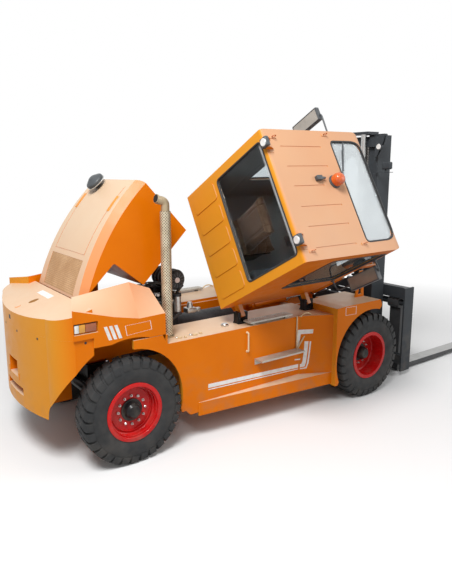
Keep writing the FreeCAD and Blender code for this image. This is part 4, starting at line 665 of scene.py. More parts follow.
def line_inside(material, wall):
    """Lines a cab piece with felt wherever it faces the driver, past half the wall's thickness."""
    tree = material.node_tree
    shader = tree.nodes["Principled BSDF"]
    x, y, z = closed_place(tree)
    low_front = spread(tree, z, CAB_FLOOR, CAB_KNEE_Z, CAB_FRONT, CAB_KNEE)
    high_front = spread(tree, z, CAB_KNEE_Z, CAB_ROOF, 0, 0.120)
    front = sum_of(tree, low_front, high_front, "SUBTRACT")
    depths = [sum_of(tree, x, CAB_REAR, "SUBTRACT"), sum_of(tree, front, x, "SUBTRACT"),
              sum_of(tree, CAB_HALF, sum_of(tree, y, 0.0, "ABSOLUTE"), "SUBTRACT"),
              sum_of(tree, CAB_ROOF, z, "SUBTRACT"), sum_of(tree, z, CAB_FLOOR, "SUBTRACT")]
    least = depths[0]
    for depth in depths[1:]:
        least = sum_of(tree, least, depth, "MINIMUM")
    inside = spread(tree, least, wall - 0.003, wall + 0.003, 0, 1)
    felt = patches(tree, (0.150, 0.150, 0.150), (0.250, 0.250, 0.245), 260.0, 5.0, 0.3, 0.7)
    painted = shader.inputs["Base Color"].links[0].from_socket
    tree.links.new(mixed(tree, inside, painted, felt), shader.inputs["Base Color"])
    gloss = shader.inputs["Roughness"].links[0].from_socket
    tree.links.new(sum_of(tree, gloss, spread(tree, inside, 0, 1, 0, 0.45)), shader.inputs["Roughness"])


# the cab's roof and rear faces are painted paler: painted light
cab_orange = enamel("cab_enamel", *ORANGE,
                    painted_light=((on_cab.to_3x3() @ Vector((0, 0, 1)), 0.50, (0.50, 0.54, 0.42)), REAR_PAINTED_LIGHT))
line_inside(cab_orange, 0.034)
finish(["cab_shell", "door_left"], cab_orange)

tinted, tree, shader = new_material("tinted_glass")
tree.links.new(patches(tree, (0.72, 0.76, 0.78), (0.80, 0.84, 0.85), 1.3, low=0.3, high=0.7),
               shader.inputs["Base Color"])
# the roof pane lets less light through and shows its pale tone: painted reflection of the sky
roof_painted_sky_reflection = spread(tree, closed_place(tree)["Z"], 2.94, 2.97, 1.0, 0.45)
tree.links.new(roof_painted_sky_reflection, shader.inputs["Transmission Weight"])
shader.inputs["IOR"].default_value = 1.12
tree.links.new(spread(tree, noise(tree, 5.0, 5.0), 0.4, 0.75, 0.0, 0.03), shader.inputs["Roughness"])
finish(["cab_glass", "door_glass_left"], tinted)


CORNER_STEPS = 7


def rounded(points):
    """A rounded outline from corners (u, v, radius), as a list of (u, v)."""
    line = []
    for k, (u, v, radius) in enumerate(points):
        here = Vector((u, v))
        back = (Vector(points[k - 1][:2]) - here).normalized()
        ahead = (Vector(points[(k + 1) % len(points)][:2]) - here).normalized()
        start, end = here + back * radius, here + ahead * radius
        for step in range(CORNER_STEPS + 1):
            t = step / CORNER_STEPS
            line.append(start * (1 - t) ** 2 + here * 2 * t * (1 - t) + end * t ** 2)
    return line


def band_round(shape, line, section, lay):
    """A closed band along an outline, of a section (outward, upward).

    lay turns (u, v, up) into a point.
    """
    count = len(line)
    outward = []
    for k in range(count):
        along = (line[(k + 1) % count] - line[k - 1]).normalized()
        outward.append(Vector((along.y, -along.x)))
    rows = [[shape.verts.new(lay(*(spot + way * out), up)) for spot, way in zip(line, outward)]
            for out, up in section]
    for first, second in zip(rows, rows[1:] + rows[:1]):
        for k in range(count):
            shape.faces.new((first[k - 1], first[k], second[k], second[k - 1]))
    bmesh.ops.recalc_face_normals(shape, faces=shape.faces)


def rectangle(u0, v0, u1, v1, radius):
    """The corners of a box, each with one radius."""
    return [(u0, v0, radius), (u1, v0, radius), (u1, v1, radius), (u0, v1, radius)]


GASKET = ((0.010, 0.0002), (0.008, 0.005), (-0.004, 0.006), (-0.010, 0.002), (-0.013, -0.0175),
          (-0.0015, -0.0175))
gaskets = bmesh.new()
for corners, lay in (
        (rectangle(-0.670, CAB_FLOOR + 0.710, 0.670, CAB_FLOOR + 1.630, 0.06),
         lambda u, v, up: (CAB_REAR - up, u, v)),
        ([(2.463, -0.650, 0.06), (2.993, -0.650, 0.19), (2.993, 0.650, 0.19), (2.463, 0.650, 0.06)],
         lambda u, v, up: (u, v, roof_z(u) + up)),
        (rectangle(-0.600, CAB_FLOOR + 0.420, 0.600, CAB_ROOF - 0.190, 0.06),
         lambda u, v, up: (windscreen_x(v) + up, u, v)),
        (rectangle(1.960, 2.000, 2.900, 2.948, 0.06), lambda u, v, up: (u, -CAB_HALF - up, v))):
    band_round(gaskets, rounded(corners), GASKET, lay)
put("cab_gaskets", gaskets, rubber_trim, "cab", on_cab, 50)
door_gasket = bmesh.new()
band_round(door_gasket, rounded(rectangle(2.070, 1.940, 2.790, 2.888, 0.05)), GASKET,
           lambda u, v, up: (u, CAB_HALF - 0.002 + up, v))
put("door_gasket", door_gasket, rubber_trim, "door_left", on_cab, 50)
HANDLE_X, HANDLE_OUT = 2.835, CAB_HALF + 0.034
handle = bmesh.new()
for z in (1.76, 1.90):
    rod(handle, (HANDLE_X, CAB_HALF - 0.004, z), (HANDLE_X, HANDLE_OUT, z), 0.008, 12)
rod(handle, (HANDLE_X, HANDLE_OUT, 1.735), (HANDLE_X, HANDLE_OUT, 1.925), 0.010, 14)
block(handle, (HANDLE_X - 0.020, CAB_HALF - 0.002, 1.66), (HANDLE_X + 0.020, CAB_HALF + 0.008, 1.72), 0.004)
put("door_handle", handle, plated, "door_left", on_cab, 40)

# ------------------------------------------------------------ roof fittings
# Two square work lamps on folded brackets at the rear roof corners, a beacon
# under an amber dome with its relay box, lifting eyes and a roof wiper.
lamp_cases, lamp_faces, brackets = bmesh.new(), bmesh.new(), bmesh.new()
for y in (0.238 - CAB_HALF, 1.378 - CAB_HALF):
    block(brackets, (CAB_REAR + 0.030, y - 0.105, CAB_ROOF - 0.002),
          (CAB_REAR + 0.085, y + 0.105, CAB_ROOF + 0.004), 0.002)
    for side in (1, -1):
        sheet(brackets, [(CAB_REAR + x, y + side * 0.060, CAB_ROOF + z) for x, z in (
            (-0.028, 0.012), (0.020, 0.002), (0.085, 0.002), (0.085, 0.014), (0.010, 0.060),
            (-0.028, 0.060))], (0, side * 0.005, 0))
    block(lamp_cases, (CAB_REAR - 0.060, y - 0.057, CAB_ROOF - 0.016),
          (CAB_REAR - 0.004, y + 0.057, CAB_ROOF + 0.088), 0.014, 3)
    block(lamp_cases, (CAB_REAR - 0.020, y - 0.030, CAB_ROOF + 0.004),
          (CAB_REAR + 0.016, y + 0.030, CAB_ROOF + 0.066), 0.010, 2)
    rod(lamp_faces, (CAB_REAR - 0.058, y, CAB_ROOF + 0.036), (CAB_REAR - 0.066, y, CAB_ROOF + 0.036),
        0.046, 32, 0.038)
bmesh.ops.recalc_face_normals(brackets, faces=brackets.faces)
put("work_lamp_brackets", brackets, cab_orange, "cab", on_cab, 40)
put("work_lamp_cases", lamp_cases, moulded, "cab", on_cab, 40)
put("work_lamp_faces", lamp_faces, lens_plastic("lens_work", (0.90, 0.90, 0.88)), "cab", on_cab,
    40)

BEACON = (CAB_REAR + 0.852, -CAB_HALF + 0.900)
beacon_amber = ribbed(plain("beacon_amber", (0.86, 0.17, 0.012), (0.70, 0.10, 0.008),
                            (14.0, 3.0, 0.3, 0.7), 0.14, Transmission_Weight=0.25, Coat_Weight=0.5),
                      28.0, 0.003)
beacon_at = on_cab @ at(*BEACON, CAB_ROOF)
dome_shape = lathe([(0.0, 0.030), (0.072, 0.030), (0.0745, 0.050), (0.073, 0.088), (0.062, 0.118),
                    (0.038, 0.136), (0.0, 0.141)])
dome = put("beacon_dome", dome_shape, beacon_amber, "cab", beacon_at, 50)
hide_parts("beacon")
base_shape = lathe([(0.0, 0.0005), (0.080, 0.0005), (0.081, 0.014), (0.075, 0.018), (0.075, 0.029),
                    (0.0, 0.029)])
put("beacon_base", base_shape, moulded, "cab", beacon_at, 40)
roof_bits = bmesh.new()
relay_x, relay_y = CAB_REAR + 0.614, -CAB_HALF + 0.944
block(roof_bits, (relay_x - 0.055, relay_y - 0.028, CAB_ROOF),
      (relay_x + 0.030, relay_y + 0.028, CAB_ROOF + 0.050), 0.008, 3)
rod(roof_bits, (relay_x + 0.030, relay_y, CAB_ROOF + 0.026),
    (relay_x + 0.085, relay_y, CAB_ROOF + 0.026), 0.017, 18, 0.012)
rod(roof_bits, (2.435, 0.190, CAB_ROOF), (2.435, 0.190, CAB_ROOF + 0.034), 0.024, 20, 0.018)
rod(roof_bits, (2.435, 0.190, CAB_ROOF + 0.030), (2.590, 0.520, CAB_ROOF + 0.020), 0.006, 10)
rod(roof_bits, (2.490, 0.250, CAB_ROOF + 0.010), (2.665, 0.625, CAB_ROOF + 0.010), 0.009, 8)
put("roof_fittings", roof_bits, moulded, "cab", on_cab, 40)
eyes = bmesh.new()
EYE_RADIUS, EYE_UP = 0.021, 0.026
for u, v in ((0.965, 1.516), (0.966, 0.119), (0.139, 0.107), (0.139, 1.466)):
    x, y = CAB_REAR + u, v - CAB_HALF
    block(eyes, (x - 0.045, y - 0.016, CAB_ROOF - 0.001), (x + 0.045, y + 0.016, CAB_ROOF + 0.006), 0.002)
    spun(eyes, [(x + EYE_RADIUS + u, y, CAB_ROOF + EYE_UP + v) for u, v in circle(0.007)], (0, 1, 0),
         (x, y, CAB_ROOF + EYE_UP), 24)
bmesh.ops.recalc_face_normals(eyes, faces=eyes.faces)
put("lifting_eyes", eyes, cab_orange, "cab", on_cab, 50)

# ------------------------------------------------------------------- mirrors
# Mirrors in moulded black housings on bent tube arms; the glass, a flat pane,
# faces rearward inside a raised rim.
finish(["mirrors"], moulded)
MIRROR_X, MIRROR_TOP, MIRROR_DROP = 2.950, 2.720, 0.020
# half metallic with a warm grey diffuse tone: painted reflection in the mirror glass
mirror_painted_reflection = plain("mirror_glass", (0.46, 0.43, 0.38), (0.36, 0.33, 0.29), (6.0, 3.0, 0.3, 0.7),
                 (0.12, 0.24, 9.0), Metallic=0.45)
panes, shells = bmesh.new(), bmesh.new()
for reach, side in ((0.520, 1), (0.150, -1)):
    y = side * (CAB_HALF + reach)
    low, high = MIRROR_TOP - MIRROR_DROP - 0.480, MIRROR_TOP - MIRROR_DROP
    block(panes, (MIRROR_X - 0.048, y - 0.076, low + 0.014),
          (MIRROR_X - 0.0455, y + 0.076, high - 0.014), 0.0008)
    band_round(shells, rounded(rectangle(y - 0.088, low + 0.002, y + 0.088, high - 0.002, 0.022)),
               ((0.0, 0.0002), (-0.002, 0.009), (-0.010, 0.009), (-0.013, 0.0002)),
               lambda u, v, up: (MIRROR_X - 0.0452 - up, u, v))
put("mirror_panes", panes, mirror_painted_reflection, "cab", on_cab)
put("mirror_rims", shells, moulded, "cab", on_cab, 50)

# ------------------------------------------------------------ driver's place
# A suspension seat in ribbed cloth on its black base, a moulded wheel on the
# column, a console with levers along the right and a dash hood in front.
cloth, tree, shader = new_material("seat_cloth")
place = add(tree, "ShaderNodeTexCoord")
threads = []
for direction in ("X", "Y"):
    thread = add(tree, "ShaderNodeTexWave", Scale=130.0, Distortion=0.6)
    thread.bands_direction = direction
    tree.links.new(place.outputs["Object"], thread.inputs["Vector"])
    threads.append(thread.outputs["Fac"])
weave = product(tree, *threads)
tone = patches(tree, (0.17, 0.085, 0.040), (0.27, 0.150, 0.075), 3.0, 5.0, 0.3, 0.7)
tree.links.new(mixed(tree, weave, (0.070, 0.036, 0.018), tone), shader.inputs["Base Color"])
shader.inputs["Roughness"].default_value = 0.88
shader.inputs["Sheen Weight"].default_value = 0.25
bumped(tree, shader, weave, 0.35, 0.001)


SWELL, CHANNEL_DEPTH, CHANNEL_WIDTH = 0.022, 0.010, 0.008


def apply_modifiers(piece):
    """Bakes a piece's modifiers into its mesh."""
    baked = bpy.data.meshes.new_from_object(piece.evaluated_get(bpy.context.evaluated_depsgraph_get()))
    piece.modifiers.clear()
    piece.data = baked


def stuffed(name, node, channels):
    """Foam and cloth: the cushion's solid, blown up a little and pressed in at its sewn channels."""
    mesh = nodes[node].data.copy()
    shape = bmesh.new()
    shape.from_mesh(mesh)
    bmesh.ops.remove_doubles(shape, verts=shape.verts, dist=1e-5)
    middle = sum((v.co for v in shape.verts), Vector()) / len(shape.verts)
    bmesh.ops.transform(shape, verts=shape.verts,
                        matrix=Matrix.Translation(middle) @ Matrix.Scale(0.95, 4)
                        @ Matrix.Translation(-middle))
    shape.to_mesh(mesh)
    shape.free()
    pad = bpy.data.objects.new(name, mesh)
    bpy.context.collection.objects.link(pad)
    voxels = pad.modifiers.new("voxels", "REMESH")
    voxels.mode = "VOXEL"
    voxels.voxel_size = 0.006
    apply_modifiers(pad)
    rest = [v.co.copy() for v in pad.data.vertices]
    swell = pad.modifiers.new("swell", "CLOTH")
    swell.settings.use_pressure = True
    swell.settings.uniform_pressure_force = 4
    swell.settings.effector_weights.gravity = 0
    swell.settings.quality = 4
    for frame_number in range(1, 21):
        bpy.context.scene.frame_set(frame_number)
    apply_modifiers(pad)
    for vert, start in zip(pad.data.vertices, rest):
        moved = vert.co - start
        if moved.length > SWELL:
            vert.co = start + moved.normalized() * SWELL
    bpy.context.scene.frame_set(1)
    back = on_cab.inverted()
    for vert in pad.data.vertices:
        local = back @ vert.co
        depth = sum(CHANNEL_DEPTH * math.exp(-((local[axis] - level) / CHANNEL_WIDTH) ** 2)
                    for axis, level in channels)
        vert.co -= vert.normal * depth
    smooth = pad.modifiers.new("smooth", "SUBSURF")
    smooth.levels = smooth.render_levels = 1
    apply_modifiers(pad)
    pad.data.materials.clear()
    pad.data.materials.append(cloth)
    pad.data.shade_smooth()
    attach(pad, "cab")
    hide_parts(node)


stuffed("seat_cushion_cover", "seat_cushion", [(1, -0.13), (1, 0.13), (0, 1.92), (0, 2.06)])
stuffed("seat_back_cover", "seat_back", [(1, -0.13), (1, 0.13), (2, 2.48), (2, 2.66)])
finish(["steering_column", "steering_wheel"], moulded)

inside = bmesh.new()
block(inside, (2.92, -0.70, 1.86), (3.06, 0.70, 2.02), 0.03, 4)
block(inside, (1.62, -0.72, 1.4405), (2.45, -0.50, 2.02), 0.025, 4)
for x in (1.98, 2.10, 2.22, 2.34):
    rod(inside, (x, -0.61, 2.01), (x + 0.015, -0.61, 2.17), 0.008, 12)
    rod(inside, (x + 0.015, -0.61, 2.16), (x + 0.018, -0.61, 2.20), 0.020, 16, 0.016)
block(inside, (1.50, -0.70, 1.441), (1.60, 0.70, 1.80), 0.02, 3)
put("dash_and_console", inside, moulded, "cab", on_cab, 40)

# ------------------------------------------------------------------- exhaust
# A steel pipe in a perforated heat sleeve, its holes painted near black as
# painted shade, rising beside the cab to a short elbow whose open mouth is
# filled by a black disc of soot and painted shade.
STACK_X, STACK_Y, SLEEVE_Z, HOLES_ROUND = 0.612, -0.870, (1.338, 2.800), 12
SLEEVE, SLEEVE_IN = 0.0625, 0.0595
perforated, tree, shader = new_material("perforated_sleeve")
place = add(tree, "ShaderNodeUVMap")
turn = add(tree, "ShaderNodeMapping", Rotation=(0, 0, math.pi / 4))
holes = add(tree, "ShaderNodeTexVoronoi", Scale=math.sqrt(2), Randomness=0.0)
tree.links.new(place.outputs["UV"], turn.inputs["Vector"])
tree.links.new(turn.outputs["Vector"], holes.inputs["Vector"])
# the holes are drawn only in colour, near black: painted shade inside the perforations
steel = spread(tree, holes.outputs["Distance"], 0.28, 0.34, 0, 1)
stained = patches(tree, (0.74, 0.65, 0.48), (0.56, 0.46, 0.31), 7.0, 5.0)
tree.links.new(mixed(tree, steel, (0.025, 0.022, 0.018), stained), shader.inputs["Base Color"])
tree.links.new(spread(tree, steel, 0, 1, 0.2, 0.45), shader.inputs["Metallic"])
wander(tree, shader, 0.34, 0.50, 20.0)
bumped(tree, shader, steel, 0.6, 0.003)
pipe_steel = metal("pipe_steel", (0.56, 0.45, 0.30), (0.42, 0.33, 0.21), rough=0.45, grain=24.0,
                   metallic=0.7)
finish(["exhaust_stack"], pipe_steel)
foot, top = SLEEVE_Z
sleeve = lathe([(SLEEVE_IN, foot), (SLEEVE, foot), (SLEEVE, top), (SLEEVE_IN, top), (SLEEVE_IN, foot)], 48)
wrap = sleeve.loops.layers.uv.new("UVMap")
for face in sleeve.faces:
    middle = face.calc_center_median()
    turned = math.atan2(middle.y, middle.x)
    for corner in face.loops:
        angle = math.atan2(corner.vert.co.y, corner.vert.co.x)
        if angle - turned > math.pi:
            angle -= math.tau
        elif turned - angle > math.pi:
            angle += math.tau
        corner[wrap].uv = (angle / math.tau * HOLES_ROUND,
                           corner.vert.co.z / (math.tau * SLEEVE) * HOLES_ROUND)
put("exhaust_sleeve", sleeve, perforated, "chassis", on_truck @ at(STACK_X, STACK_Y, 0), 40)
# a black disc fills the mouth: soot, and painted shade inside the open pipe
soot_and_shade = plain("soot_and_shade", (0.004, 0.004, 0.004), (0.012, 0.011, 0.010), (80.0, 3.0, 0.3, 0.7), 0.9)
slope = math.degrees(math.atan2(0.025, 0.105))
mouth_at = on_truck @ at(STACK_X - 0.105, STACK_Y, SLEEVE_Z[0] + 1.607, -90 + slope, "Y")
lip = lathe([(0.044, -0.001), (0.0515, -0.001), (0.0515, 0.016), (0.047, 0.017), (0.044, -0.001)])
put("exhaust_mouth", lip, pipe_steel, "chassis", mouth_at, 40)
put("exhaust_soot_and_shade", lathe([(0.0, 0.001), (0.0475, 0.001), (0.0475, 0.0175), (0.0, 0.0175)]), soot_and_shade,
    "chassis", mouth_at)

# ----------------------------------------------------------------- deck, steps
# Galvanised treads with raised studs, a cream grab rail bent from the deck down
# to the lower tread, a short upright handle and small caps on the deck.
galvanised = metal("galvanised_steel", (0.52, 0.49, 0.43), (0.40, 0.37, 0.32), rough=0.42, grain=30.0,
                   metallic=0.45)
finish(["steps"], galvanised)
STEP_Y, UPPER, LOWER = 1.120, (1.680, 2.400, 1.3602), (1.750, 2.500, 0.8702)
studs = bmesh.new()
for side in (1, -1):
    for (x0, x1, z), (y0, y1) in ((UPPER, (0.985, 1.108)), (LOWER, (STEP_Y + 0.016, STEP_Y + 0.140))):
        for row in range(5):
            count = 22 - row % 2
            for number in range(count):
                x = x0 + 0.03 + (x1 - x0 - 0.06) * (number + 0.5 * (row % 2)) / 21
                y = side * (y0 + (y1 - y0) * row / 4)
                rod(studs, (x, y, z - 0.0005), (x, y, z + 0.0042), 0.0075, 8, 0.0055)
put("tread_studs", studs, galvanised, "chassis", smooth=30)
cream = enamel("cream_paint", (0.74, 0.58, 0.36), (0.66, 0.50, 0.30), rough=0.4, coat=0.2, dust=0.2)


def tube(name, runs, radius, material, body):
    """Round bar or hose along smoothed runs of points, as one mesh."""
    curve = bpy.data.curves.new(name, "CURVE")
    curve.dimensions = "3D"
    curve.bevel_depth, curve.bevel_resolution, curve.use_fill_caps = radius, 3, True
    for points in runs:
        line = curve.splines.new("NURBS")
        line.points.add(len(points) - 1)
        for point, where in zip(line.points, points):
            point.co = (*where, 1)
        line.order_u, line.use_endpoint_u, line.resolution_u = 3, True, 8
    drawn = bpy.data.objects.new(name, curve)
    bpy.context.collection.objects.link(drawn)
    mesh = bpy.data.meshes.new_from_object(drawn.evaluated_get(bpy.context.evaluated_depsgraph_get()))
    bpy.data.objects.remove(drawn)
    bpy.data.curves.remove(curve)
    shape = bmesh.new()
    shape.from_mesh(mesh)
    bpy.data.meshes.remove(mesh)
    put(name, shape, material, body, smooth=60)


STEP_RAIL = ((2.520, 1.318), (2.560, 1.345), (2.640, 1.350), (2.730, 1.310), (2.757, 1.210),
             (2.725, 1.140), (2.655, 1.080), (2.580, 1.010), (2.545, 0.960), (2.470, 0.8705))
HANDLE = ((0.0, 1.240), (0.028, 1.240), (0.030, 1.225), (0.030, 1.010), (0.028, 0.995), (0.0, 0.995))
SIDE_HANDLE_X = 1.625
rails, feet = [], bmesh.new()
for side in (1, -1):
    y = side * (STEP_Y + 0.030)
    rails.append([(x, y, z) for x, z in STEP_RAIL])
    rails.append([(2.474, side * (STEP_Y + 0.012), z) for z in (1.325, 1.20, 1.05, 0.8705)])
    rails.append([(SIDE_HANDLE_X, side * (STEP_Y + out), z) for out, z in HANDLE])
    for z in (1.240, 0.995):
        rod(feet, (SIDE_HANDLE_X, side * STEP_Y, z), (SIDE_HANDLE_X, side * (STEP_Y + 0.005), z), 0.017, 20,
            0.015)
    rod(feet, (2.520, y, 1.311), (2.520, y, 1.322), 0.020, 20, 0.017)
tube("grab_rails", rails, 0.0105, cream, "chassis")
put("rail_feet", feet, cream, "chassis", smooth=30)
DECK = 1.310
caps, pads = bmesh.new(), bmesh.new()
for x, y, size in ((1.437, -0.900, 0.050), (1.437, 0.900, 0.050), (0.862, -0.985, 0.022),
                   (0.668, -0.985, 0.018)):
    rod(caps, (x, y, DECK), (x, y, DECK + size * 0.35), size, 32)
    rod(caps, (x, y, DECK + size * 0.35), (x, y, DECK + size * 0.6), size * 0.92, 32, size * 0.7)
put("deck_caps", caps, plated, "chassis", smooth=30)
for x, y, width in ((0.690, -1.020, 0.055), (0.905, -1.020, 0.060), (0.996, -1.000, 0.040),
                    (0.760, -1.030, 0.030)):
    block(pads, (x - width / 2, y - 0.014, DECK), (x + width / 2, y + 0.014, DECK + 0.022), 0.005)
put("deck_clamps", pads, cream, "chassis", smooth=40)

# ---------------------------------------------------------------- engine bay
# A cast block under a ribbed air cleaner, with filters, pipes, a belt drive and
# hoses between it and the radiator.
cast = metal("cast_iron", (0.045, 0.046, 0.048), (0.022, 0.022, 0.024), rough=0.55, grain=30.0,
             metallic=0.3)
finish(["engine", "air_cleaner"], cast)
bright = metal("bright_castings", (0.60, 0.60, 0.58), (0.42, 0.42, 0.41), rough=0.36, grain=50.0)
CLEANER_X, CLEANER_Z, CLEANER_RADIUS = 1.010, 1.880, 0.125
ribs = bmesh.new()
RIB = 0.011
for y in (-0.415, -0.345, -0.215, -0.130, -0.060):
    spun(ribs, [(CLEANER_X, y + u, CLEANER_Z + CLEANER_RADIUS + v) for u, v in (
        (-RIB, -0.001), (-RIB, 0.006), (-RIB / 2, 0.010), (RIB / 2, 0.010), (RIB, 0.006),
        (RIB, -0.001))], (0, 1, 0), (CLEANER_X, y, CLEANER_Z))
for number in range(12):
    angle = math.tau * number / 12
    direction = Vector((math.cos(angle), 0, math.sin(angle)))
    middle = Vector((CLEANER_X, -0.4665, CLEANER_Z))
    rod(ribs, middle + direction * 0.050, middle + direction * 0.098, 0.006, 8)
bmesh.ops.recalc_face_normals(ribs, faces=ribs.faces)
put("cleaner_ribs", ribs, moulded, "chassis", smooth=40)
disc = bmesh.new()
rod(disc, (CLEANER_X, -0.466, CLEANER_Z), (CLEANER_X, -0.474, CLEANER_Z), 0.036, 32, 0.032)
put("cleaner_knob", disc, enamel("pale_cap", (0.78, 0.68, 0.66), (0.70, 0.60, 0.58), dust=0), "chassis",
    smooth=30)
filters, tops = bmesh.new(), bmesh.new()
for x, y, low, high, radius in ((1.040, -0.405, 1.46, 1.66, 0.050), (0.900, -0.390, 1.43, 1.62, 0.045),
                                (0.700, -0.380, 1.40, 1.56, 0.055)):
    rod(filters, (x, y, low), (x, y, high), radius, 28)
    rod(filters, (x, y, low - 0.018), (x, y, low), radius * 0.8, 28, radius)
    rod(tops, (x, y, high), (x, y, high + 0.035), radius * 1.12, 28)
    block(tops, (x - 0.030, y, high + 0.004), (x + 0.030, -0.300, high + 0.034), 0.006)
put("filters", filters, bright, "chassis", smooth=40)
put("filter_heads", tops, cast, "chassis", smooth=40)
casts = bmesh.new()
for number in range(6):
    x = 0.470 + number * 0.108
    block(casts, (x, -0.205, 1.605), (x + 0.080, 0.100, 1.775), 0.020, 3)
    rod(casts, (x + 0.040, -0.155, 1.66), (x + 0.040, -0.285, 1.63), 0.026, 18)
rod(casts, (0.455, -0.300, 1.63), (1.080, -0.300, 1.63), 0.038, 24)
put("engine_heads", casts, cast, "chassis", smooth=40)
silver = bmesh.new()
rod(silver, (0.520, -0.345, 1.585), (0.520, -0.345, 1.700), 0.070, 28, 0.050)
rod(silver, (0.600, -0.370, 1.640), (0.450, -0.370, 1.640), 0.062, 28)
block(silver, (1.192, -0.420, 1.400), (1.330, -0.300, 1.470), 0.015, 3)
rod(silver, (1.262, -0.360, 1.470), (1.262, -0.360, 1.540), 0.045, 24, 0.030)
for number in range(6):
    rod(silver, (0.510 + number * 0.108, -0.100, 1.775), (0.510 + number * 0.108, -0.100, 1.795), 0.022, 18)
for x, y, z, size in ((1.075, -0.330, 1.690, 0.055), (0.780, -0.330, 1.700, 0.045),
                      (1.362, -0.380, 1.430, 0.050), (0.430, -0.480, 1.440, 0.050)):
    block(silver, (x - size, y - size * 0.6, z - size * 0.5),
          (x + size, y + size * 0.6, z + size * 0.5), 0.014, 3)
    rod(silver, (x, y - size * 0.9, z), (x, y + size * 0.6, z), size * 0.42, 20, size * 0.36)
hot = bmesh.new()
block(hot, (0.840, -0.420, 1.660), (0.930, -0.330, 1.760), 0.020, 3)
rod(hot, (0.885, -0.375, 1.760), (0.885, -0.375, 1.800), 0.024, 20)
put("engine_bright_parts", silver, bright, "chassis", smooth=40)
copper = enamel("copper_cap", (0.62, 0.20, 0.05), (0.45, 0.14, 0.04), rough=0.35)
put("coolant_tank", hot, copper, "chassis", smooth=40)
belts = bmesh.new()
for y, z, radius in ((0.0, 1.20, 0.130), (-0.230, 1.36, 0.080), (0.230, 1.40, 0.075), (0.0, 1.58, 0.075)):
    rod(belts, (0.398, y, z), (0.350, y, z), radius, 36)
    rod(belts, (0.350, y, z), (0.335, y, z), radius * 0.35, 18)
put("engine_pulleys", belts, cast, "chassis", smooth=30)
tube("engine_hoses", [
    [(0.560, -0.300, 1.74), (0.56, -0.38, 1.84), (0.70, -0.46, 1.90), (0.86, -0.44, 1.82),
     (0.92, -0.42, 1.70)],
    [(1.04, -0.40, 1.69), (1.02, -0.47, 1.78), (1.07, -0.49, 1.81), (1.11, -0.41, 1.79),
     (1.09, -0.34, 1.71)],
    [(0.45, -0.33, 1.55), (0.40, -0.48, 1.48), (0.60, -0.54, 1.38), (0.86, -0.52, 1.36),
     (1.06, -0.45, 1.45)],
    [(0.64, -0.36, 1.60), (0.70, -0.50, 1.66), (0.82, -0.52, 1.58), (0.90, -0.44, 1.46)],
    [(0.42, 0.10, 1.44), (0.36, 0.12, 1.34), (0.22, 0.14, 1.31), (0.02, 0.16, 1.31), (-0.13, 0.20, 1.34)],
    [(0.42, -0.10, 1.30), (0.16, -0.16, 1.33), (-0.02, -0.2, 1.32), (-0.13, -0.22, 1.34)]],
    0.019, rubber_trim, "chassis")
tube("engine_wiring", [
    [(0.48, -0.22, 1.78), (0.62, -0.30, 1.83), (0.80, -0.25, 1.80), (0.96, -0.28, 1.74),
     (1.06, -0.31, 1.70)],
    [(0.52, -0.20, 1.79), (0.70, -0.18, 1.86), (0.90, -0.20, 1.81), (1.05, -0.16, 1.78)],
    [(0.70, -0.42, 1.50), (0.84, -0.50, 1.47), (0.98, -0.48, 1.42), (1.10, -0.42, 1.42)]],
    0.008, rubber_trim, "chassis")

# ------------------------------------------------------- counterweight fittings
# Countersunk bolts and a socket in the rear face, tow hooks beside its pocket,
# a pin cap, a dark oval of painted shade for the lifting hole and a blank label
# on the deck, and an empty outlined tag on each fender.
finish(["tilt_barrels", "cab_tilt_barrel"], orange)
REAR_MIDDLE, REAR_RADIUS, BOLT_Z = 1.265, 2.250, 1.500
sunk, weld = bmesh.new(), bmesh.new()


def rear_x(y):
    """How far back the rear face stands at a place across it."""
    return REAR_MIDDLE - math.sqrt(REAR_RADIUS ** 2 - y ** 2)


for y in (-0.66, -0.22, 0.22, 0.66):
    out = Vector((-1, y / REAR_RADIUS, 0)).normalized()
    spot = Vector((rear_x(y), y, BOLT_Z))
    rod(sunk, spot - out * 0.004, spot + out * 0.0012, 0.015, 20, 0.014)
for side in (1, -1):
    rod(sunk, (-0.520, side * 1.0985, BOLT_Z), (-0.520, side * 1.1022, BOLT_Z), 0.014, 20)
block(sunk, (rear_x(0) - 0.0003, -0.035, 1.590), (rear_x(0) + 0.02, 0.035, 1.650), 0.006)
put("rear_bolts", sunk, rubber_trim, "chassis", smooth=30)
hook_x, HOOK_Z = rear_x(0.19), 0.900
for side in (1, -1):
    block(weld, (hook_x - 0.006, side * 0.175, HOOK_Z), (hook_x + 0.03, side * 0.200, HOOK_Z + 0.060),
          0.008, 3)
    rod(weld, (hook_x + 0.004, side * 0.187, HOOK_Z + 0.050),
        (hook_x + 0.004, side * 0.187, HOOK_Z + 0.090), 0.011, 18)
put("tow_hooks", weld, orange, "chassis", smooth=40)
DECK_FROM, DECK_Z, DECK_RISE = -0.985, 1.700, 0.150 / 0.555
deck_slope = math.degrees(math.atan(DECK_RISE))


def on_deck(x, y, above=0.0):
    """A place on the sloping rear deck."""
    return on_truck @ at(x, y, DECK_Z + (x - DECK_FROM) * DECK_RISE + above, -deck_slope, "Y")


cap = lathe([(0.0, 0.0005), (0.036, 0.0005), (0.034, 0.005), (0.028, 0.007), (0.0, 0.007)])
put("pin_cap", cap, orange, "chassis", on_deck(-0.885, 0), 30)
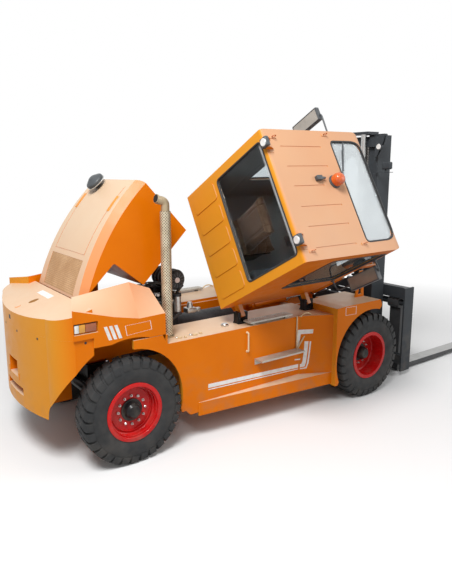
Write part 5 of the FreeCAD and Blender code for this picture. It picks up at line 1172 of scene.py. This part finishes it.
# a dark brown oval where the deck has a shaded hole: painted shade
oval = lathe([(0.0, 0.0005), (0.030, 0.0005), (0.0285, 0.004), (0.024, 0.0052), (0.0, 0.0052)])
bmesh.ops.scale(oval, verts=oval.verts, vec=(2.1, 1.2, 1.0))
hole_painted_shade = enamel("hole_painted_shade_enamel", (0.30, 0.125, 0.012), (0.20, 0.075, 0.006), dust=0)
put("lifting_hole_painted_shade", oval, hole_painted_shade, "chassis", on_deck(-0.709, -0.045), 30)
label = bmesh.new()
LABEL = Vector((0.040, 0.200, 0))
sticker(label, [(u * LABEL.x, v * LABEL.y, 0) for u, v in ((-1, -1), (1, -1), (1, 1), (-1, 1))], (0, 0, 1))
put("deck_label", label, white_film, "chassis", on_deck(-0.545, 0.02, 0.0004))
tags = bmesh.new()
TAG = ((3.120, 1.395), (3.335, 1.388), (3.335, 1.275), (3.120, 1.282))
for side in (1, -1):
    frame_lines(tags, [(x, side * 1.4005, z) for x, z in TAG], 0.006, (0, side, 0))
put("fender_tags", tags, white_film, "chassis")

# ----------------------------------------------------------- mast and chains
# Two leaf chains run from the outer mast's middle beam over grooved sheaves
# under the crown and down to the carriage; the lift rods are plated and leave
# their barrels through bolted glands.
CHAIN_Y, CHAIN_BACK, CHAIN_FRONT, SHEAVE_Z = 0.400, 4.485, 4.635, 3.660
SHEAVE_X, CHAIN_BEND = (CHAIN_BACK + CHAIN_FRONT) / 2, (CHAIN_FRONT - CHAIN_BACK) / 2
LIFT_X, LIFT_Y, BARREL_TOP, CROWN_Z = 4.2227, 0.660, 2.080, 3.752
chain_steel = metal("chain_steel", (0.16, 0.15, 0.14), (0.08, 0.075, 0.07), rough=0.4, grain=60.0,
                    metallic=0.8)
chains = bmesh.new()
PITCH = 0.038
for side in (1, -1):
    for x, low in ((CHAIN_BACK, 2.010), (CHAIN_FRONT, 1.440)):
        for number in range(int((SHEAVE_Z - low) / PITCH)):
            z = SHEAVE_Z - number * PITCH
            shift = 0.0045 if number % 2 else 0.0
            for plate in range(4):
                y = side * CHAIN_Y + (plate - 1.5) * 0.010 + shift
                block(chains, (x - 0.014, y - 0.002, z - PITCH * 1.25),
                      (x + 0.014, y + 0.002, z - PITCH * 0.02))
            y, z = side * CHAIN_Y, z - PITCH * 0.1
            rod(chains, (x, y - 0.023, z), (x, y + 0.025, z), 0.006, 6)
    for number in range(9):
        angle = math.pi * (number + 0.5) / 9
        middle = Vector((SHEAVE_X + CHAIN_BEND * math.cos(angle), 0,
                         SHEAVE_Z + CHAIN_BEND * math.sin(angle)))
        along = Vector((-math.sin(angle), 0, math.cos(angle))) * 0.016
        for plate in range(4):
            y = side * CHAIN_Y + (plate - 1.5) * 0.010
            for end in (1, -1):
                rod(chains, middle + along * end * 0.5 + Vector((0, y - 0.002, 0)),
                    middle + along * end * 0.5 + Vector((0, y + 0.002, 0)), 0.013, 8)
put("lift_chains", chains, chain_steel, "mast_inner")
sheaves = joined([at(SHEAVE_X, side * CHAIN_Y, SHEAVE_Z, 90, "X") for side in (1, -1)], lambda: lathe([
    (0.0, -0.026), (0.068, -0.026), (0.0685, -0.0245), (0.060, -0.023), (0.060, 0.023), (0.0685, 0.0245),
    (0.068, 0.026), (0.0, 0.026)]))
hangers = bmesh.new()
for side in (1, -1):
    for out in (-0.036, 0.036):
        y = side * CHAIN_Y + out
        block(hangers, (4.430, y - 0.005, SHEAVE_Z - 0.045), (4.590, y + 0.005, SHEAVE_Z + 0.045), 0.004)
    rod(hangers, (4.560, side * CHAIN_Y - 0.050, SHEAVE_Z), (4.560, side * CHAIN_Y + 0.050, SHEAVE_Z),
        0.020, 20)
put("chain_sheaves", sheaves, chain_steel, "mast_inner", smooth=40)
put("sheave_hangers", hangers, slate, "mast_inner", smooth=40)
anchors = bmesh.new()
for side in (1, -1):
    block(anchors, (4.345, side * CHAIN_Y - 0.040, 1.960), (4.510, side * CHAIN_Y + 0.040, 1.985), 0.004)
    rod(anchors, (CHAIN_BACK, side * CHAIN_Y, 1.925), (CHAIN_BACK, side * CHAIN_Y, 2.012), 0.012, 16)
    rod(anchors, (CHAIN_BACK, side * CHAIN_Y, 1.938), (CHAIN_BACK, side * CHAIN_Y, 1.960), 0.022, 6)
put("chain_anchors", anchors, slate, "mast_outer", smooth=30)
rods, glands = bmesh.new(), bmesh.new()
for side in (1, -1):
    rod(rods, (LIFT_X, side * LIFT_Y, BARREL_TOP + 0.028), (LIFT_X, side * LIFT_Y, CROWN_Z - 0.001),
        0.0408, 32)
    rod(glands, (LIFT_X, side * LIFT_Y, BARREL_TOP - 0.050), (LIFT_X, side * LIFT_Y, BARREL_TOP), 0.068, 32)
    for number in range(8):
        angle = math.tau * number / 8
        spot = Vector((LIFT_X + 0.055 * math.cos(angle), side * LIFT_Y + 0.055 * math.sin(angle),
                       BARREL_TOP))
        rod(glands, spot, spot + Vector((0, 0, 0.008)), 0.007, 6)
    for z in (0.60, 1.60):
        block(glands, (LIFT_X - 0.070, side * LIFT_Y - 0.074, z),
              (LIFT_X + 0.060, side * LIFT_Y + 0.074, z + 0.035), 0.010)
put("lift_rod_plating", rods, plated, "mast_inner", smooth=30)
put("lift_glands", glands, black, "mast_outer", smooth=30)
finish(["tilt_rods", "cab_tilt_rod"], plated)

# --------------------------------------------------- mast lamps, stays, hoses
# Folded stays at the mast's top carry a reflector and a forward lamp on each
# side; two pairs of hoses climb the rear of the mast in clips.
stays, faces = bmesh.new(), bmesh.new()
for side in (1, -1):
    for x in (4.262, 4.300):
        sheet(stays, [(x, side * y, z) for y, z in (
            (0.840, 3.730), (1.000, 3.722), (0.985, 3.640), (0.870, 3.420), (0.840, 3.410))], (0.006, 0, 0))
    block(stays, (4.250, side * 0.640, 3.7402), (4.320, side * 1.005, 3.748), 0.002)
    block(stays, (4.285, side * 0.838, 3.190), (4.345, side * 1.120, 3.198), 0.002)
    rod(stays, (4.260, side * 0.905, 3.565), (4.310, side * 0.905, 3.565), 0.052, 28)
    rod(faces, (4.2600, side * 0.905, 3.565), (4.2545, side * 0.905, 3.565), 0.040, 28, 0.036)
    rod(stays, (4.315, side * 1.010, 3.198), (4.315, side * 1.010, 3.235), 0.014, 14)
    block(stays, (4.275, side * 0.960, 3.235), (4.365, side * 1.095, 3.345), 0.022, 4)
bmesh.ops.recalc_face_normals(stays, faces=stays.faces)
put("mast_stays", stays, slate, "mast_outer", smooth=40)
put("mast_reflectors", faces, white_film, "mast_outer", smooth=40)
lenses = bmesh.new()
for side in (1, -1):
    block(lenses, (4.364, side * 0.970, 3.245), (4.369, side * 1.085, 3.335), 0.002)
put("mast_lamp_lenses", lenses, lens_plastic("lens_mast", (0.86, 0.86, 0.84)), "mast_outer")
MAST_HOSE = ((4.290, 1.900), (4.262, 1.960), (4.262, 2.4), (4.262, 3.0), (4.268, 3.56), (4.300, 3.735))
tube("mast_hoses", [[(x, y, z) for x, z in MAST_HOSE] for y in (-0.150, -0.112, 0.112, 0.150)], 0.013,
     rubber_trim, "mast_outer")
clips = bmesh.new()
for y in (-0.131, 0.131):
    for z in (1.960, 3.640):
        block(clips, (4.244, y - 0.042, z - 0.014), (4.286, y + 0.042, z + 0.014), 0.005)
put("hose_clips", clips, black, "mast_outer", smooth=40)

# ---------------------------------------------------------- carriage and forks
# The forks hang from a round shaft between collars; their tops are worn to
# bare steel and their sides keep a dark paint.
fork_steel, tree, shader = new_material("fork_steel")
place = add(tree, "ShaderNodeTexCoord")
facing = add(tree, "ShaderNodeSeparateXYZ")
tree.links.new(place.outputs["Normal"], facing.inputs[0])
worn = product(tree, spread(tree, facing.outputs["Z"], 0.4, 0.9, 0, 1),
               spread(tree, noise(tree, 5.0, 6.0), 0.2, 0.5, 0.75, 1.0))
paint = patches(tree, (0.040, 0.042, 0.045), (0.065, 0.066, 0.068), 9.0, 5.0, 0.3, 0.7)
scraped = mixed(tree, spread(tree, noise(tree, 40.0, 4.0, (0.1, 3.0, 1.0)), 0.3, 0.7, 0, 1),
                (0.46, 0.46, 0.45), (0.34, 0.34, 0.33))
tree.links.new(mixed(tree, worn, paint, scraped), shader.inputs["Base Color"])
tree.links.new(spread(tree, worn, 0, 1, 0.55, 0.38), shader.inputs["Roughness"])
tree.links.new(spread(tree, worn, 0, 1, 0.0, 0.55), shader.inputs["Metallic"])
bumped(tree, shader, noise(tree, 60.0, 4.0, (0.2, 2.0, 1.0)), 0.1, 0.002)
finish(["fork_left", "fork_right"], fork_steel)
SHAFT_X, SHAFT_Z, SHIFTER_X, SHIFTER_Z = 4.800, 1.165, 4.690, 0.960
collars = bmesh.new()
for side in (1, -1):
    for y in (0.342, 1.190):
        rod(collars, (SHAFT_X, side * y - 0.014, SHAFT_Z), (SHAFT_X, side * y + 0.014, SHAFT_Z), 0.066, 32)
        rod(collars, (SHAFT_X, side * y, SHAFT_Z), (SHAFT_X, side * y, SHAFT_Z + 0.071), 0.010, 12)
put("shaft_collars", collars, plated, "carriage", smooth=30)
shifters = bmesh.new()
for side in (1, -1):
    for y0, y1, radius in ((0.100, 0.560, 0.028), (0.545, 0.590, 0.033)):
        rod(shifters, (SHIFTER_X, side * y0, SHIFTER_Z), (SHIFTER_X, side * y1, SHIFTER_Z), radius, 28)
    block(shifters, (4.656, side * 0.290, 0.900), (4.722, side * 0.312, 1.080), 0.006)
put("fork_positioners", shifters, black, "carriage", smooth=30)

# ------------------------------------------------- cylinders, glands and hoses
# Each tilt cylinder has a threaded gland and a pair of ports; the cab's own
# cylinder is fed by two hoses looped from its ports to the deck.
BASE, EYE_CLOSED = Vector((3.300, -0.500, 1.400)), Vector((3.300, -0.700, 2.357))
eye_open = on_truck.inverted() @ on_cab @ EYE_CLOSED
axis = (eye_open - BASE).normalized()
gland = bmesh.new()
rod(gland, BASE + axis * 0.755, BASE + axis * 0.806, 0.047, 32)
rod(gland, BASE + axis * 0.100, BASE + axis * 0.130, 0.046, 32)
for along in (0.150, 0.720):
    spot = BASE + axis * along + Vector((0.036, 0, 0))
    rod(gland, spot, spot + Vector((0.030, 0, 0)), 0.016, 6)
put("cab_cylinder_gland", gland, plated, "cab_tilt_barrel", smooth=30)


def by_cylinder(along, x, y, z):
    """A place beside the cab's cylinder, from how far up its barrel it is."""
    return BASE + axis * along + Vector((x, y, z))


tube("cab_cylinder_hoses", [
    [by_cylinder(*spot) for spot in (
        (0.720, 0.066, 0, 0), (0.720, 0.111, 0, 0.01), (0.62, 0.09, 0, -0.04), (0.40, 0.08, 0, -0.07),
        (0.22, 0.07, 0, -0.06), (0.150, 0.096, 0, -0.03))],
    [by_cylinder(*spot) for spot in (
        (0.150, 0.066, 0, 0), (0.150, 0.096, 0, 0), (0.150, 0.106, 0.02, -0.05),
        (0.150, 0.086, 0.06, -0.09))]],
    0.011, rubber_trim, "cab_tilt_barrel")
tilt_from, tilt_to = Vector((2.950, 0, 1.090)), Vector((4.230, 0, 1.150))
along = (tilt_to - tilt_from).normalized()
tilt_glands = bmesh.new()
for side in (1, -1):
    off = Vector((0, side * 0.400, 0))
    rod(tilt_glands, tilt_from + off + along * 0.705, tilt_from + off + along * 0.758, 0.062, 32)
    for place_along in (0.10, 0.66):
        spot = tilt_from + off + along * place_along + Vector((0, 0, 0.050))
        rod(tilt_glands, spot, spot + Vector((0, 0, 0.030)), 0.016, 6)
put("tilt_glands", tilt_glands, plated, "tilt_barrels", smooth=30)

# ------------------------------------------------------- floor, light, camera
# A pale floor under a broad soft sky, a large lamp high behind the truck on its
# right and a weaker one ahead of it, and a camera behind its right corner.
bpy.context.scene.view_settings.view_transform = "Standard"


def camera_sees(tree):
    """1 for what the camera sees, straight or by gloss or through glass; 0 for the light a surface gets."""
    path = tree.nodes.new("ShaderNodeLightPath")
    seen = path.outputs["Is Camera Ray"]
    for kind in ("Is Glossy Ray", "Is Transmission Ray"):
        either = tree.nodes.new("ShaderNodeMath")
        either.operation = "MAXIMUM"
        tree.links.new(seen, either.inputs[0])
        tree.links.new(path.outputs[kind], either.inputs[1])
        seen = either.outputs[0]
    return seen


floor_mesh = bpy.data.meshes.new("floor")
floor_shape = bmesh.new()
bmesh.ops.create_grid(floor_shape, x_segments=1, y_segments=1, size=60)
floor_shape.to_mesh(floor_mesh)
floor_shape.free()
floor = bpy.data.objects.new("floor", floor_mesh)
bpy.context.collection.objects.link(floor)
pale, tree, shader = new_material("pale_floor")
shader.inputs["Roughness"].default_value = 0.9
seen_white = mixed(tree, camera_sees(tree), (0.42, 0.42, 0.42), (0.86, 0.86, 0.86))
tree.links.new(seen_white, shader.inputs["Base Color"])
place = add(tree, "ShaderNodeTexCoord")
away = tree.nodes.new("ShaderNodeVectorMath")
away.operation = "LENGTH"
tree.links.new(place.outputs["Object"], away.inputs[0])
glow = add(tree, "ShaderNodeEmission", Color=(1, 1, 1, 1), Strength=1.0)
blend_to_paler = tree.nodes.new("ShaderNodeMixShader")
tree.links.new(product(tree, camera_sees(tree), spread(tree, away.outputs["Value"], 4.5, 9.0, 0, 1)),
               blend_to_paler.inputs[0])
tree.links.new(shader.outputs[0], blend_to_paler.inputs[1])
tree.links.new(glow.outputs[0], blend_to_paler.inputs[2])
tree.links.new(blend_to_paler.outputs[0], tree.nodes["Material Output"].inputs["Surface"])
floor_mesh.materials.append(pale)

world = bpy.data.worlds.new("sky")
world.use_nodes = True
bpy.context.scene.world = world
sky = world.node_tree.nodes["Background"]
sky.inputs["Color"].default_value = (1, 1, 1, 1)
sky.inputs["Strength"].default_value = 0.40
tree = world.node_tree
white = add(tree, "ShaderNodeBackground", Color=(1, 1, 1, 1), Strength=1.0)
mix = tree.nodes.new("ShaderNodeMixShader")
tree.links.new(camera_sees(tree), mix.inputs[0])
tree.links.new(sky.outputs[0], mix.inputs[1])
tree.links.new(white.outputs[0], mix.inputs[2])
tree.links.new(mix.outputs[0], tree.nodes["World Output"].inputs["Surface"])


def area_lamp(name, place, target, power, size):
    """A square lamp turned towards a point."""
    data = bpy.data.lights.new(name, "AREA")
    data.energy, data.size = power, size
    lamp = bpy.data.objects.new(name, data)
    bpy.context.collection.objects.link(lamp)
    lamp.location = place
    lamp.rotation_euler = (Vector(target) - Vector(place)).to_track_quat("-Z", "Y").to_euler()


area_lamp("key_lamp", (-7.0, -5.0, 11.0), (-0.5, 0.3, 1.2), 1450, 4)
area_lamp("front_lamp", (8.0, -9.0, 7.0), (0.5, 0.3, 1.2), 350, 6)

camera_data = bpy.data.cameras.new("camera")
camera_data.lens = 34.19
camera_data.shift_x, camera_data.shift_y = 0.05, -0.03
camera = bpy.data.objects.new("camera", camera_data)
bpy.context.collection.objects.link(camera)
camera.matrix_world = (Matrix.Translation((-5.687, -5.918, 3.269))
                       @ Matrix.Rotation(math.radians(-33.821), 4, "Z")
                       @ Matrix.Rotation(math.radians(90 - 10.759), 4, "X")
                       @ Matrix.Rotation(math.radians(-0.605), 4, "Z"))
bpy.context.scene.camera = camera
